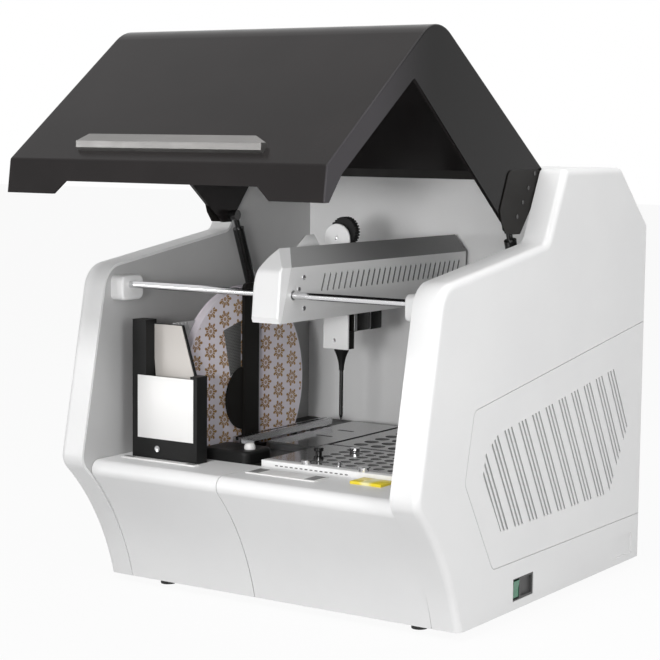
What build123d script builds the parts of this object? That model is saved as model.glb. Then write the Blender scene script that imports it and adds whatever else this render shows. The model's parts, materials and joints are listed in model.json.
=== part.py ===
from build123d import *
import math
import os

# A bench-top coagulation analyzer with its tinted lid open.
# X runs across the front, Y from front to back, Z up from the table.

# Housing
housing_width = 600.0
housing_depth = 575.0
housing_height = 611.0
foot_height = 12.0
foot_radius = 13.0
sill_y = -155.0
cheek_thickness = 42.0
skin = 4.0
sheet = 2.0
seam = 0.3
edge_round = 10.0

# Corners of the cheek outline, measured from the front sill
chin_reach = 115.0
chin_height = 184.0
chin_round = 28.0
sill_hollow = 16.0
brow_set_back = -58.0
brow_drop = 147.0
brow_round = 40.0
step_set_back = 236.0
step_drop = 104.0
step_round = 20.0
crown_set_back = 288.0
crown_depth = 187.0
crown_round = 14.0
shoulder_drop = 88.0
shoulder_round = 12.0

# Front panels and ledge
panel_wall = 3.0
ledge_height = 187.0
ledge_back_y = -140.0
panel_nose_reach = 112.0
panel_nose_round = 14.0
panel_seam_x = -34.0
panel_seam_gap = 1.2
panel_side_gap = 0.9

# Chamber
deck_thickness = 3.0
deck_flange = 20.0
back_wall_y = 307.0
back_wall_drop = 20.0

# Vent panels in the cheeks
vent_thickness = 2.5
vent_border = 12.0
vent_round = 14.0
vent_seam = 0.7
vent_rear_margin = 5.0
vent_slot_width = 4.0
vent_slot_pitch = 10.2
vent_group_pitch = 44.0
vent_groups = 11
vent_slots_in_group = 3
vent_slot_lean = 30.3
vent_slot_length = 240.0

# Lid, at rest open, with its points measured from the hinge axis
pivot_y = 146.5
pivot_drop = 15.0
lid_side_gap = 3.0
lid_wall = 5.0
lid_ridge_reach = (-307.0, 217.0)
lid_front_edge_reach = (-560.5, 24.0)
lid_flange_foot_reach = (-566.5, -21.0)
lid_rear_end_reach = (0.0, 13.0)
lid_skirt_front = 28.0
lid_low_corner_reach = (-80.0, -77.0)
lid_low_corner_width = 21.0
lid_rear_skirt_reach = (-119.5, -57.0)
lid_skirt_apex_reach = (-363.0, 133.0)
lid_skirt_set_back = 20.0
lid_notch_half_width = 155.0
lid_notch_run = 19.0
lid_notch_rise = 17.0
lid_ridge_round = 60.0
lid_edge_round = 2.5
pivot_pin_radius = 4.0
pivot_clearance = 0.06
hinge_plate = 1.6
hinge_plate_round = 13.0

# Grip bar on the lid: height over the slope and length along it
grip_foot_up_slope = 19.8
grip_lip_rise = 4.4
grip_crease_rise = 13.4
grip_rise = 21.9
grip_depth = 13.0
grip_half_width = 149.0
grip_nose_half_width = 132.0

# Lid struts
strut_inset = 16.0
strut_top_reach = (-74.5, -66.0)
strut_foot_reach = (22.0, -307.0)
strut_cylinder_radius = 9.0
strut_rod_radius = 4.0
strut_cylinder_length = 140.0
strut_eye_radius = 8.0
strut_neck_radius = 4.5
strut_neck_length = 22.0
strut_eye_width = 10.0
strut_stud_radius = 3.0
strut_clearance = 0.3

# Guide rod across the front
rod_y = -185.0
rod_z = 450.0
rod_radius = 5.0
rod_clearance = 0.06
bracket_reach = 22.0
bracket_front_y = -203.0
bracket_back_y = -155.0
bracket_low_z = 427.0
bracket_top_z = 463.0

# Arm
arm_left_x = 5.0
arm_right_x = 49.8
arm_low_z = 413.0
arm_crease_z = 488.0
arm_top_z = 513.5
arm_top_right_x = 30.0
arm_round_low_z = 458.0
arm_round_mid = (11.5, 488.0)
arm_left_skirt_z = 476.0
arm_cover_thickness = 1.5
arm_seam_low_y = -214.0
arm_seam_crease_y = -190.0
arm_seam_top_y = -165.0
arm_rear_y = 290.0
cap_front_y = -222.0
cap_chin_y = -217.0
cap_brow_y = -216.0
cap_top_y = -193.0
cap_seam_gap = 0.3
cap_edge_round = 3.0
arm_slot_first_y = -112.0
arm_slot_pitch = 14.5
arm_slot_count = 27
arm_slot_length = 27.0
arm_slot_width = 3.6
arm_slot_z = 464.0
arm_slot_lean = 20.0

# Rail at the back of the chamber
rail_depth = 12.0
rail_height = 12.0
rail_z = 446.0
rail_side_gap = 18.0
running_gap = 0.3

# Probe unit
probe_x = -16.0
probe_y = 37.0
probe_cover_x = -20.0
probe_cover_width = 44.0
probe_cover_front_y = 26.0
probe_cover_thickness = 3.0
probe_unit_low_z = 352.0
probe_block_height = 26.0
probe_cover_centre_z = 515.7
probe_shaft_radius = 4.0
probe_clamp_height = 14.0
probe_lug_thickness = 6.0
probe_cone_radius = 11.0
probe_cone_length = 32.0
probe_cone_waist = 6.2
probe_cone_waist_drop = 14.5
probe_cone_lip = 2.5
probe_needle_radius = 2.9
probe_tip_z = 246.0
probe_travel = 36.0
pulley_radius = 22.0
pulley_thickness = 11.0
pulley_x = -12.0
pulley_z = 526.0
pulley_teeth = 30
z_motor_side = 28.0
z_motor_length = 76.0
z_motor_z = 392.0

# Cuvette reel
reel_face_x = -165.0
reel_thickness = 15.0
reel_radius = 152.0
reel_y = 0.0
reel_z = 288.0
reel_flange = 1.5
reel_pack_inset = 1.0
hub_radius = 26.0
hub_sleeve_radius = 22.0
hub_thickness = 4.0
axle_radius = 8.0
post_gap = 1.2
post_thickness = 5.0
post_front_y = -17.0
post_back_y = 20.5
guard_centre = (-10.0, 272.0)
guard_radius = 48.0
guard_thickness = 2.5
post_top_z = 445.0
reel_slot_margin = 9.0

# Cuvette loader
loader_left_x = -232.0
loader_right_x = -114.5
loader_front_y = -186.0
loader_back_y = -162.0
loader_top_z = 400.0
loader_slope_top_x = -156.0
loader_slope_foot_x = -133.0
loader_label_top_z = 320.0
loader_base_height = 23.0
loader_wall = 3.0
loader_column = 25.0
loader_right_column = 12.0

# Deck fittings
track_x = -137.0
track_width = 16.0
track_front_y = -59.0
track_back_y = 185.0
track_top_z = 220.0
sensor_size = (84.0, 66.0, 19.0)
sensor_place = (-104.0, -104.0)
plate_left_x = -125.0
plate_right_x = -36.0
plate_front_y = 0.0
plate_back_y = 240.0
fitting_top_z = 208.0
plate_thickness = 3.0
rack_top = 3.0
rack_wall = 3.0
rack_side_gap = 22.0
reagent_rack_left_x = -34.0
reagent_rack_y = (-122.0, 26.0)
reagent_hole_radius = 8.0
reagent_pitch = (23.0, 22.0)
reagent_grid = (9, 6)
reagent_first = (24.0, -103.0)
sample_rack_left_x = -28.0
sample_rack_y = (34.0, 226.0)
sample_hole_radius = 11.0
sample_pitch = (30.0, 30.0)
sample_grid = (8, 6)
sample_first = (8.0, 56.0)
strip_left_x = -57.0
strip_front_y = -138.0
thumbscrew_radius = 7.5
thumbscrew_height = 6.0
thumbscrew_places = ((36.0, -130.0), (131.0, -130.0), (35.5, -4.0))

# Switch recess in the right cheek
recess_y = (-5.0, 56.0)
recess_z = (24.0, 56.0)
frame_depth = 16.0
rocker_width = 17.0
rocker_height = 24.0
rocker_radius = 12.0
rocker_clearance = 0.4
cover_recess_y = (317.0, 387.0)
cover_recess_z = (23.0, 55.0)
cover_recess_depth = 2.0

# Rear panel and what sits behind it
fan_x = 120.0
fan_z = 300.0
fan_side = 92.0
fan_depth = 25.0
fan_bore_radius = 42.0
fan_rotor_radius = 39.0
fan_hub_radius = 15.0
fan_axle_radius = 3.0
fan_clearance = 0.1
fan_blades = 7
inlet_x = -180.0
inlet_z = 90.0
inlet_size = (50.0, 30.0)
inlet_depth = 28.0

# Inside the base, with places measured from the inner walls and the rear
supply_size = (120.0, 200.0, 62.0)
supply_inset = 28.0
board_x = (-60.0, 140.0)
board_y = (180.0, 340.0)
board_rise = 10.0
board_thickness = 1.6
pump_inset = 18.0
pump_size = (50.0, 60.0, 120.0)
pump_front_y = 200.0
x_motor_half = 21.0
x_motor_length = 34.0
x_motor_place = (-205.0, 486.0)

# Derived planes
bottom_z = foot_height
top_z = foot_height + housing_height
rear_y = sill_y + housing_depth
outer_x = housing_width / 2
inner_x = outer_x - cheek_thickness
ledge_z = foot_height + ledge_height
deck_z = ledge_z - panel_wall
back_wall_top_z = top_z - back_wall_drop
panel_x = inner_x - seam
front_panel_x = inner_x - panel_side_gap
rack_right_x = inner_x - rack_side_gap
reagent_rack_x = (reagent_rack_left_x, rack_right_x)
sample_rack_x = (sample_rack_left_x, rack_right_x)

sill = (sill_y, bottom_z)
chin = (sill_y - chin_reach, foot_height + chin_height)
brow = (sill_y + brow_set_back, top_z - brow_drop)
step = (sill_y + step_set_back, top_z - step_drop)
crown_front = (sill_y + crown_set_back, top_z)
crown_rear = (sill_y + crown_set_back + crown_depth, top_z)
shoulder = (rear_y, top_z - shoulder_drop)
rear_foot = (rear_y, bottom_z)

os.makedirs("parts", exist_ok=True)


def from_pivot(reach):
    """Point of the lid or its struts, from its distance to the hinge axis."""
    return (pivot[0] + reach[0], pivot[1] + reach[1])


pivot = (pivot_y, top_z - pivot_drop)
lid_half_width = inner_x - lid_side_gap
strut_x = lid_half_width - strut_inset
lid_ridge = from_pivot(lid_ridge_reach)
lid_front_edge = from_pivot(lid_front_edge_reach)
lid_flange_foot = from_pivot(lid_flange_foot_reach)
lid_rear_end = from_pivot(lid_rear_end_reach)
lid_low_corner = from_pivot(lid_low_corner_reach)
lid_rear_skirt_inner = from_pivot(lid_rear_skirt_reach)
lid_skirt_apex = from_pivot(lid_skirt_apex_reach)
strut_top = from_pivot(strut_top_reach)
strut_foot = from_pivot(strut_foot_reach)


def hollow_mid(start, end, sagitta):
    """Middle of an arc that bows to the right of the way from start to end."""
    run_y, run_z = end[0] - start[0], end[1] - start[1]
    length = math.hypot(run_y, run_z)
    middle_y = (start[0] + end[0]) / 2 + sagitta * run_z / length
    middle_z = (start[1] + end[1]) / 2 - sagitta * run_y / length
    return (middle_y, middle_z)


def along(start, end, distance):
    """Point at a distance from start on the way to end."""
    run_y, run_z = end[0] - start[0], end[1] - start[1]
    length = math.hypot(run_y, run_z)
    return (start[0] + run_y * distance / length, start[1] + run_z * distance / length)


def box_between(x_range, y_range, z_range, mode=Mode.ADD):
    """Box that fills the given ranges."""
    centre = [(low + high) / 2 for low, high in (x_range, y_range, z_range)]
    size = [high - low for low, high in (x_range, y_range, z_range)]
    with Locations(tuple(centre)):
        return Box(*size, mode=mode)


# Side outline shared by the cheeks, in Y and Z
with BuildSketch() as cheek_outline:
    with BuildLine():
        ThreePointArc(sill, hollow_mid(sill, chin, sill_hollow), chin)
        Polyline(chin, brow, step, crown_front, crown_rear, shoulder, rear_foot, sill)
    make_face()
    for corner, radius in (
        (chin, chin_round),
        (brow, brow_round),
        (step, step_round),
        (crown_front, crown_round),
        (crown_rear, shoulder_round),
        (shoulder, shoulder_round),
    ):
        fillet(cheek_outline.vertices().sort_by_distance(corner)[0], radius)

with BuildSketch() as cheek_hollow:
    add(cheek_outline.sketch)
    offset(amount=-skin)

with BuildSketch() as inner_wall_outline:
    add(cheek_outline.sketch)
    offset(amount=-skin - seam)

# Vent panel outline in the outer face of a cheek
vent_low_z = 81.0
vent_back_y = rear_y - vent_rear_margin
vent_corners = [
    (-66.0, vent_low_z),
    (vent_back_y, vent_low_z),
    (vent_back_y, 385.0),
    (-124.5, 306.5),
    (-147.0, 211.0),
]
with BuildSketch() as vent_outline:
    with BuildLine():
        Polyline(*vent_corners, close=True)
    make_face()
    fillet(vent_outline.vertices().sort_by(Axis.X)[:3], vent_round)

with BuildSketch() as vent_window:
    add(vent_outline.sketch)
    offset(amount=-vent_border)

# Slots of the vent panel, cut off by the slanted field they fill
vent_field = [
    (-44.8, 130.0),
    (302.0, 130.0),
    (364.0, 228.0),
    (317.0, 321.0),
    (-57.0, 267.0),
    (-91.0, 245.0),
    (-98.0, 216.0),
]
with BuildSketch() as vent_slots:
    for group in range(vent_groups):
        for slot in range(vent_slots_in_group):
            slot_y = vent_field[0][0] + group * vent_group_pitch + slot * vent_slot_pitch
            lean = math.radians(vent_slot_lean)
            middle_y = slot_y - math.sin(lean) * vent_slot_length / 2
            middle_z = vent_field[0][1] + math.cos(lean) * vent_slot_length / 2
            with Locations((middle_y, middle_z)):
                Rectangle(vent_slot_width, vent_slot_length, rotation=vent_slot_lean)
    with BuildSketch(mode=Mode.INTERSECT):
        with BuildLine():
            Polyline(*vent_field, close=True)
        make_face()

for side, side_name in ((-1, "left"), (1, "right")):
    # Cheek: a moulded side shell, open towards the chamber
    with BuildPart() as cheek:
        with BuildSketch(Plane.YZ.offset(side * inner_x)):
            add(cheek_outline.sketch)
        extrude(amount=side * cheek_thickness)
        outer_edges = cheek.faces().sort_by(Axis.X)[0 if side < 0 else -1].edges()
        rim_edges = [edge for edge in outer_edges if edge.center().Z > bottom_z + skin]
        fillet(rim_edges, edge_round)
        solid_cheek = cheek.part
        with BuildSketch(Plane.YZ.offset(side * inner_x)):
            add(cheek_hollow.sketch)
        extrude(amount=side * (cheek_thickness - skin), mode=Mode.SUBTRACT)
        # Bosses for the lid hinge and the rod bracket reach the inner wall
        with BuildSketch(Plane.YZ.offset(side * (outer_x - skin))):
            with Locations(pivot):
                Circle(pivot_pin_radius + 5)
            with Locations((rod_y, rod_z)):
                Circle(rod_radius + 5)
        extrude(amount=-side * (cheek_thickness - skin - sheet))
        with BuildSketch(Plane.YZ.offset(side * inner_x)):
            with Locations(pivot):
                Circle(pivot_pin_radius + rod_clearance)
        extrude(amount=side * cheek_thickness / 2, mode=Mode.SUBTRACT)
        # Seat of the vent panel and the window behind it
        with BuildSketch(Plane.YZ.offset(side * outer_x)):
            add(vent_outline.sketch)
            offset(amount=seam)
        extrude(amount=-side * vent_thickness, mode=Mode.SUBTRACT)
        with BuildSketch(Plane.YZ.offset(side * outer_x)):
            add(vent_window.sketch)
        extrude(amount=-side * skin, mode=Mode.SUBTRACT)
        if side > 0:
            box_between(
                (outer_x - frame_depth, outer_x), recess_y, recess_z, mode=Mode.SUBTRACT
            )
            box_between(
                (outer_x - cover_recess_depth, outer_x),
                cover_recess_y,
                cover_recess_z,
                mode=Mode.SUBTRACT,
            )
    cheek.part.label = f"{side_name}_cheek"
    export_step(cheek.part, f"parts/{side_name}_cheek.step")

    # Inner wall: painted sheet that closes the cheek
    with BuildPart() as inner_wall:
        with BuildSketch(Plane.YZ.offset(side * inner_x)):
            add(inner_wall_outline.sketch)
            with Locations(pivot):
                Circle(pivot_pin_radius + rod_clearance, mode=Mode.SUBTRACT)
        extrude(amount=side * sheet)
    inner_wall.part.label = f"{side_name}_inner_wall"
    export_step(inner_wall.part, f"parts/{side_name}_inner_wall.step")

    # Vent panel: flush cover with slanted slots
    with BuildPart() as vent_panel:
        with BuildSketch(Plane.YZ.offset(side * (outer_x - vent_thickness))):
            add(vent_outline.sketch)
            offset(amount=-vent_seam)
            add(vent_slots.sketch, mode=Mode.SUBTRACT)
        extrude(amount=side * vent_thickness)
        add(solid_cheek, mode=Mode.INTERSECT)
    vent_panel.part.label = f"{side_name}_vent_panel"
    export_step(vent_panel.part, f"parts/{side_name}_vent_panel.step")

# Front panels: curved shells with a rolled lip and a flat ledge
nose = (sill_y - panel_nose_reach, ledge_z)
with BuildSketch() as panel_outline:
    panel_sill = (sill_y + seam, bottom_z)
    with BuildLine():
        ThreePointArc(panel_sill, hollow_mid(panel_sill, nose, sill_hollow), nose)
        Polyline(nose, (ledge_back_y, ledge_z), (ledge_back_y, bottom_z), panel_sill)
    make_face()
    fillet(panel_outline.vertices().sort_by_distance(nose)[0], panel_nose_round)

for panel_name, x_low, x_high in (
    ("front_panel_left", -front_panel_x, panel_seam_x - panel_seam_gap / 2),
    ("front_panel_right", panel_seam_x + panel_seam_gap / 2, front_panel_x),
):
    with BuildPart() as front_panel:
        with BuildSketch(Plane.YZ.offset(x_low)):
            add(panel_outline.sketch)
        extrude(amount=x_high - x_low)
        with BuildSketch(Plane.YZ.offset(x_low + panel_wall)):
            add(panel_outline.sketch)
            offset(amount=-panel_wall)
        extrude(amount=x_high - x_low - 2 * panel_wall, mode=Mode.SUBTRACT)
        # The shell is open at the back
        box_between(
            (x_low + panel_wall, x_high - panel_wall),
            (ledge_back_y - 2 * panel_wall, ledge_back_y),
            (bottom_z + panel_wall, deck_z),
            mode=Mode.SUBTRACT,
        )
    front_panel.part.label = panel_name
    export_step(front_panel.part, f"parts/{panel_name}.step")

# Deck: black floor of the chamber, slotted for the reel
reel_half_chord = math.sqrt(reel_radius**2 - (reel_z - deck_z) ** 2)
reel_left_x = reel_face_x - reel_thickness
with BuildPart() as deck_plate:
    deck_y = (ledge_back_y, back_wall_y + sheet)
    deck_sheet_z = (deck_z - deck_thickness, deck_z)
    box_between((-panel_x, panel_x), deck_y, deck_sheet_z)
    # Tongues that carry the ledges of the front panels
    tongue_y = (ledge_back_y - 2 * panel_nose_round, ledge_back_y)
    tongue_inset = panel_wall + 1
    for tongue_x in (
        (-front_panel_x + tongue_inset, panel_seam_x - tongue_inset),
        (panel_seam_x + tongue_inset, front_panel_x - tongue_inset),
    ):
        box_between(tongue_x, tongue_y, deck_sheet_z)
    for side in (-1, 1):
        flange_x = sorted((side * panel_x, side * (panel_x - deck_thickness)))
        flange_z = (deck_z - deck_flange, deck_z)
        box_between(flange_x, (ledge_back_y + seam, deck_y[1]), flange_z)
    box_between(
        (reel_left_x - reel_slot_margin, reel_face_x + 3),
        (reel_y - reel_half_chord - reel_slot_margin, reel_y + reel_half_chord + reel_slot_margin),
        (deck_z - deck_thickness, deck_z),
        mode=Mode.SUBTRACT,
    )
deck_plate.part.label = "deck_plate"
export_step(deck_plate.part, "parts/deck_plate.step")

# Back wall of the chamber with a folded top edge
with BuildPart() as inner_back_wall:
    wall_z = (deck_z, back_wall_top_z)
    box_between((-panel_x, panel_x), (back_wall_y, back_wall_y + sheet), wall_z)
    fold_y = (back_wall_y - 6, back_wall_y)
    box_between((-panel_x, panel_x), fold_y, (back_wall_top_z - sheet, back_wall_top_z))
inner_back_wall.part.label = "inner_back_wall"
export_step(inner_back_wall.part, "parts/inner_back_wall.step")

# Top cover: bent sheet from behind the lid down to the rear panel
cover_front_y = pivot[0] + 4.0
cover_notch_y = pivot[0] + 15.0
cover_notch_x = lid_half_width - 4.0
with BuildPart() as top_cover:
    with BuildSketch(Plane.YZ.offset(-panel_x)) as top_section:
        with BuildLine():
            Polyline(
                (cover_front_y, top_z - seam),
                (crown_rear[0], top_z - seam),
                (rear_y - seam, shoulder[1]),
                (rear_y - seam, shoulder[1] - panel_wall),
                (rear_y - seam - panel_wall, shoulder[1] - panel_wall),
                along((rear_y - panel_wall, shoulder[1] - panel_wall), crown_rear, panel_wall),
                (crown_rear[0] - panel_wall / 2, top_z - panel_wall),
                (cover_front_y, top_z - panel_wall),
                close=True,
            )
        make_face()
    extrude(amount=2 * panel_x)
    # Corners cut back round the hinge plates
    for side in (-1, 1):
        notch_x = sorted((side * cover_notch_x, side * inner_x))
        notch_z = (top_z - 2 * panel_wall, top_z)
        box_between(notch_x, (cover_front_y, cover_notch_y), notch_z, mode=Mode.SUBTRACT)
top_cover.part.label = "top_cover"
export_step(top_cover.part, "parts/top_cover.step")

# Black rail under the front edge of the top cover
with BuildPart() as hinge_rail:
    hinge_rail_y = (cover_front_y + 1, cover_front_y + 13)
    hinge_rail_z = (back_wall_top_z + 1, top_z - panel_wall)
    box_between((-cover_notch_x, cover_notch_x), hinge_rail_y, hinge_rail_z)
hinge_rail.part.label = "hinge_rail"
export_step(hinge_rail.part, "parts/hinge_rail.step")

# Rear panel with fan hole, inlet hole and air slots
rear_panel_low_z = bottom_z + sheet
with BuildPart() as rear_panel:
    rear_panel_y = (rear_y - sheet - seam, rear_y - seam)
    box_between((-panel_x, panel_x), rear_panel_y, (rear_panel_low_z, shoulder[1] - panel_wall))
    with BuildSketch(Plane.XZ.offset(-rear_y)):
        with Locations((fan_x, fan_z)):
            with PolarLocations(fan_bore_radius - 12, 10):
                SlotOverall(18, 5)
            with PolarLocations(fan_bore_radius - 26, 6):
                SlotOverall(12, 5)
        with Locations((inlet_x, inlet_z)):
            Rectangle(inlet_size[0] - 6, inlet_size[1] - 6)
        with Locations((-fan_x, fan_z)):
            with GridLocations(0, 14, 1, 9):
                SlotOverall(110, 5)
    extrude(amount=2 * sheet, mode=Mode.SUBTRACT)
rear_panel.part.label = "rear_panel"
export_step(rear_panel.part, "parts/rear_panel.step")

# Base tray with turned-up sides
with BuildPart() as base_tray:
    tray_y = (ledge_back_y + seam, rear_y - sheet - 2 * seam)
    box_between((-panel_x, panel_x), tray_y, (bottom_z, bottom_z + sheet))
    for side in (-1, 1):
        tray_side = sorted((side * panel_x, side * (panel_x - sheet)))
        box_between(tray_side, tray_y, (bottom_z, bottom_z + deck_flange))
    with GridLocations(320, 180, 2, 2):
        with Locations((0, 120, 0)):
            Hole(radius=4, depth=bottom_z + sheet)
base_tray.part.label = "base_tray"
export_step(base_tray.part, "parts/base_tray.step")

# Feet under the tray
with BuildPart() as feet:
    with BuildSketch():
        for foot_y in (sill_y + 35, rear_y - 45):
            for foot_x in (-1, 1):
                with Locations((foot_x * (inner_x - 40), foot_y)):
                    Circle(foot_radius - 2)
    extrude(amount=foot_height, taper=-8)
feet.part.label = "feet"
export_step(feet.part, "parts/feet.step")

# Rod brackets on the inner walls
with BuildPart() as rod_brackets:
    for side in (-1, 1):
        bracket_x = sorted((side * inner_x, side * (inner_x - bracket_reach)))
        bracket = box_between(
            bracket_x, (bracket_front_y, bracket_back_y), (bracket_low_z, bracket_top_z)
        )
        fillet(bracket.edges().filter_by(Axis.X), 9)
    free_faces = [rod_brackets.faces().filter_by(Plane.YZ).sort_by(Axis.X)[1]]
    free_faces.append(rod_brackets.faces().filter_by(Plane.YZ).sort_by(Axis.X)[-2])
    for face in free_faces:
        fillet(face.edges(), 4)
    with Locations(Plane((0, rod_y, rod_z), z_dir=(1, 0, 0))):
        Cylinder(rod_radius + rod_clearance, 2 * inner_x, mode=Mode.SUBTRACT)
rod_brackets.part.label = "rod_brackets"
export_step(rod_brackets.part, "parts/rod_brackets.step")

# Round guide rod for the arm
with BuildPart() as guide_rod:
    with BuildSketch(Plane.YZ.offset(-inner_x + seam)):
        with Locations((rod_y, rod_z)):
            Circle(rod_radius)
    extrude(amount=2 * (inner_x - seam))
    chamfer(guide_rod.edges().group_by(Axis.X)[0] + guide_rod.edges().group_by(Axis.X)[-1], 0.6)
guide_rod.part.label = "guide_rod"
export_step(guide_rod.part, "parts/guide_rod.step")

# Rail on the back wall, grooved above and below
rail_front_y = back_wall_y - rail_depth
with BuildPart() as rear_rail:
    rail_x = (-inner_x + rail_side_gap, inner_x - rail_side_gap)
    rail_body_z = (rail_z - rail_height / 2, rail_z + rail_height / 2)
    box_between(rail_x, (rail_front_y, back_wall_y), rail_body_z)
    for way in (-1, 1):
        groove_z = sorted((rail_z + way * rail_height / 2, rail_z + way * (rail_height / 2 - 2)))
        box_between(rail_x, (rail_front_y + 4, rail_front_y + 8), groove_z, mode=Mode.SUBTRACT)
rear_rail.part.label = "rear_rail"
export_step(rear_rail.part, "parts/rear_rail.step")

# Lid shell: two sloping skins, a notched front flange and side skirts
slope = (lid_ridge[0] - lid_front_edge[0], lid_ridge[1] - lid_front_edge[1])
slope_length = math.hypot(*slope)
slope_along = (slope[0] / slope_length, slope[1] / slope_length)
slope_out = (-slope_along[1], slope_along[0])
skirt_turn = (
    lid_front_edge[0] - slope_out[0] * lid_skirt_front + slope_along[0] * lid_skirt_set_back,
    lid_front_edge[1] - slope_out[1] * lid_skirt_front + slope_along[1] * lid_skirt_set_back,
)
with BuildPart() as lid_shell:
    with BuildSketch(Plane.YZ.offset(-lid_half_width)) as lid_profile:
        with BuildLine():
            Polyline(
                lid_flange_foot,
                lid_front_edge,
                lid_ridge,
                lid_rear_end,
                (lid_rear_end[0] - 20, lid_rear_end[1] - 31),
                (lid_low_corner[0] + lid_low_corner_width / 2, lid_low_corner[1]),
                (lid_low_corner[0] - lid_low_corner_width / 2, lid_low_corner[1]),
                lid_rear_skirt_inner,
                lid_skirt_apex,
                skirt_turn,
                (lid_flange_foot[0] + 2 * lid_wall, lid_flange_foot[1]),
                close=True,
            )
        make_face()
        fillet(lid_profile.vertices().sort_by_distance(lid_ridge)[0], lid_ridge_round)
        fillet(lid_profile.vertices().sort_by_distance(lid_front_edge)[0], lid_wall + 1)
        fillet(lid_profile.vertices().sort_by_distance(lid_skirt_apex)[0], 5)
    extrude(amount=2 * lid_half_width)
    # Soft side edges along both slopes and over the ridge
    front_middle = ((lid_front_edge[0] + lid_ridge[0]) / 2, (lid_front_edge[1] + lid_ridge[1]) / 2)
    rear_middle = ((lid_rear_end[0] + lid_ridge[0]) / 2, (lid_rear_end[1] + lid_ridge[1]) / 2)
    soft_edges = []
    for side in (-1, 1):
        for place in (front_middle, lid_ridge, rear_middle):
            near = lid_shell.edges().sort_by_distance((side * lid_half_width, *place))
            soft_edges.append([edge for edge in near if abs(edge.center().X) > lid_half_width - 1][0])
    fillet(soft_edges, lid_edge_round)
    # Space under the skins, between the skirts
    with BuildSketch(Plane.YZ.offset(-lid_half_width + lid_wall)) as lid_space:
        with BuildLine():
            rear_run = (lid_rear_end[0] - lid_ridge[0], lid_rear_end[1] - lid_ridge[1])
            rear_length = math.hypot(*rear_run)
            rear_in = (rear_run[1] / rear_length * lid_wall, -rear_run[0] / rear_length * lid_wall)
            front_in = (-slope_out[0] * lid_wall, -slope_out[1] * lid_wall)
            Polyline(
                (lid_flange_foot[0] + lid_wall, lid_flange_foot[1] - 1),
                (lid_front_edge[0] + lid_wall, lid_front_edge[1] - 1.5),
                (lid_ridge[0], lid_ridge[1] - lid_wall * 1.2),
                (lid_rear_end[0] + rear_in[0], lid_rear_end[1] + rear_in[1]),
                (lid_rear_end[0] + rear_in[0], lid_low_corner[1] - 40),
                (lid_low_corner[0], lid_low_corner[1] - 40),
                close=True,
            )
        make_face()
        fillet(lid_space.vertices().sort_by_distance(lid_ridge)[0], lid_ridge_round - lid_wall)
    extrude(amount=2 * (lid_half_width - lid_wall), mode=Mode.SUBTRACT)
    # Notch along the lower edge of the flange
    with BuildSketch(Plane.XZ.offset(-lid_flange_foot[0] - 12)) as notch:
        with BuildLine():
            notch_z = lid_flange_foot[1]
            notch_outer = lid_notch_half_width + lid_notch_run
            Polyline(
                (-notch_outer, notch_z - 1),
                (-notch_outer, notch_z),
                (-lid_notch_half_width, notch_z + lid_notch_rise),
                (lid_notch_half_width, notch_z + lid_notch_rise),
                (notch_outer, notch_z),
                (notch_outer, notch_z - 1),
                close=True,
            )
        make_face()
    extrude(amount=24, both=True, mode=Mode.SUBTRACT)
lid_shell.part.label = "lid_shell"
export_step(lid_shell.part, "parts/lid_shell.step")

# Grip bar: a long folded ledge on the front slope
grip_foot = along(lid_front_edge, lid_ridge, grip_foot_up_slope)
grip_back_y = grip_foot[0] + 0.75 * grip_depth
grip_back = along(lid_front_edge, lid_ridge, (grip_back_y - lid_front_edge[0]) / slope_along[0])
grip_crease = (grip_foot[0] - grip_depth / 4, grip_foot[1] + grip_crease_rise)
grip_top = (grip_foot[0] + grip_depth / 4, grip_foot[1] + grip_rise)
with BuildPart() as lid_handle:
    with BuildSketch(Plane.YZ.offset(-grip_half_width)) as grip_profile:
        with BuildLine():
            Polyline(
                grip_foot,
                (grip_foot[0] - grip_depth / 4, grip_foot[1] + grip_lip_rise),
                grip_crease,
                grip_top,
                (grip_back_y, grip_top[1]),
                grip_back,
                close=True,
            )
        make_face()
        fillet(grip_profile.vertices().sort_by_distance(grip_crease)[0], 3)
        fillet(grip_profile.vertices().sort_by_distance(grip_top)[0], 1.5)
    extrude(amount=2 * grip_half_width)
    # Slanted ends
    with BuildSketch(Plane.XZ.offset(-grip_foot[0])) as grip_ends:
        for side in (-1, 1):
            with BuildLine():
                Polyline(
                    (side * (grip_half_width - 2), grip_crease[1]),
                    (side * grip_nose_half_width, grip_top[1] + 0.1),
                    (side * (grip_half_width + 1), grip_top[1] + 0.1),
                    (side * (grip_half_width + 1), grip_crease[1]),
                    close=True,
                )
            make_face()
    extrude(amount=2 * grip_depth, both=True, mode=Mode.SUBTRACT)
lid_handle.part.label = "lid_handle"
export_step(lid_handle.part, "parts/lid_handle.step")

# Hinge plates screwed to the outside of the skirts, with the studs of the struts
plate_top_corner = from_pivot((-105.5, 13.0))
plate_outer_x = lid_half_width + hinge_plate
with BuildSketch() as plate_outline:
    with BuildLine():
        Polyline(
            from_pivot((-12.0, 13.0)),
            plate_top_corner,
            from_pivot((-130.5, -42.0)),
            from_pivot((-124.5, -60.0)),
            from_pivot((-112.5, -75.0)),
            from_pivot((-70.5, -77.0)),
            from_pivot((-8.0, -8.0)),
            close=True,
        )
    make_face()
    fillet(plate_outline.vertices().sort_by_distance(plate_top_corner)[0], hinge_plate_round)
    with Locations(pivot):
        Circle(pivot_pin_radius + 6)
        Circle(pivot_pin_radius + pivot_clearance, mode=Mode.SUBTRACT)
with BuildPart() as lid_hinge_brackets:
    for side in (-1, 1):
        with BuildSketch(Plane.YZ.offset(side * lid_half_width)):
            add(plate_outline.sketch)
        extrude(amount=side * hinge_plate)
lid_hinge_brackets.part.label = "lid_hinge_brackets"
export_step(lid_hinge_brackets.part, "parts/lid_hinge_brackets.step")

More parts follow.
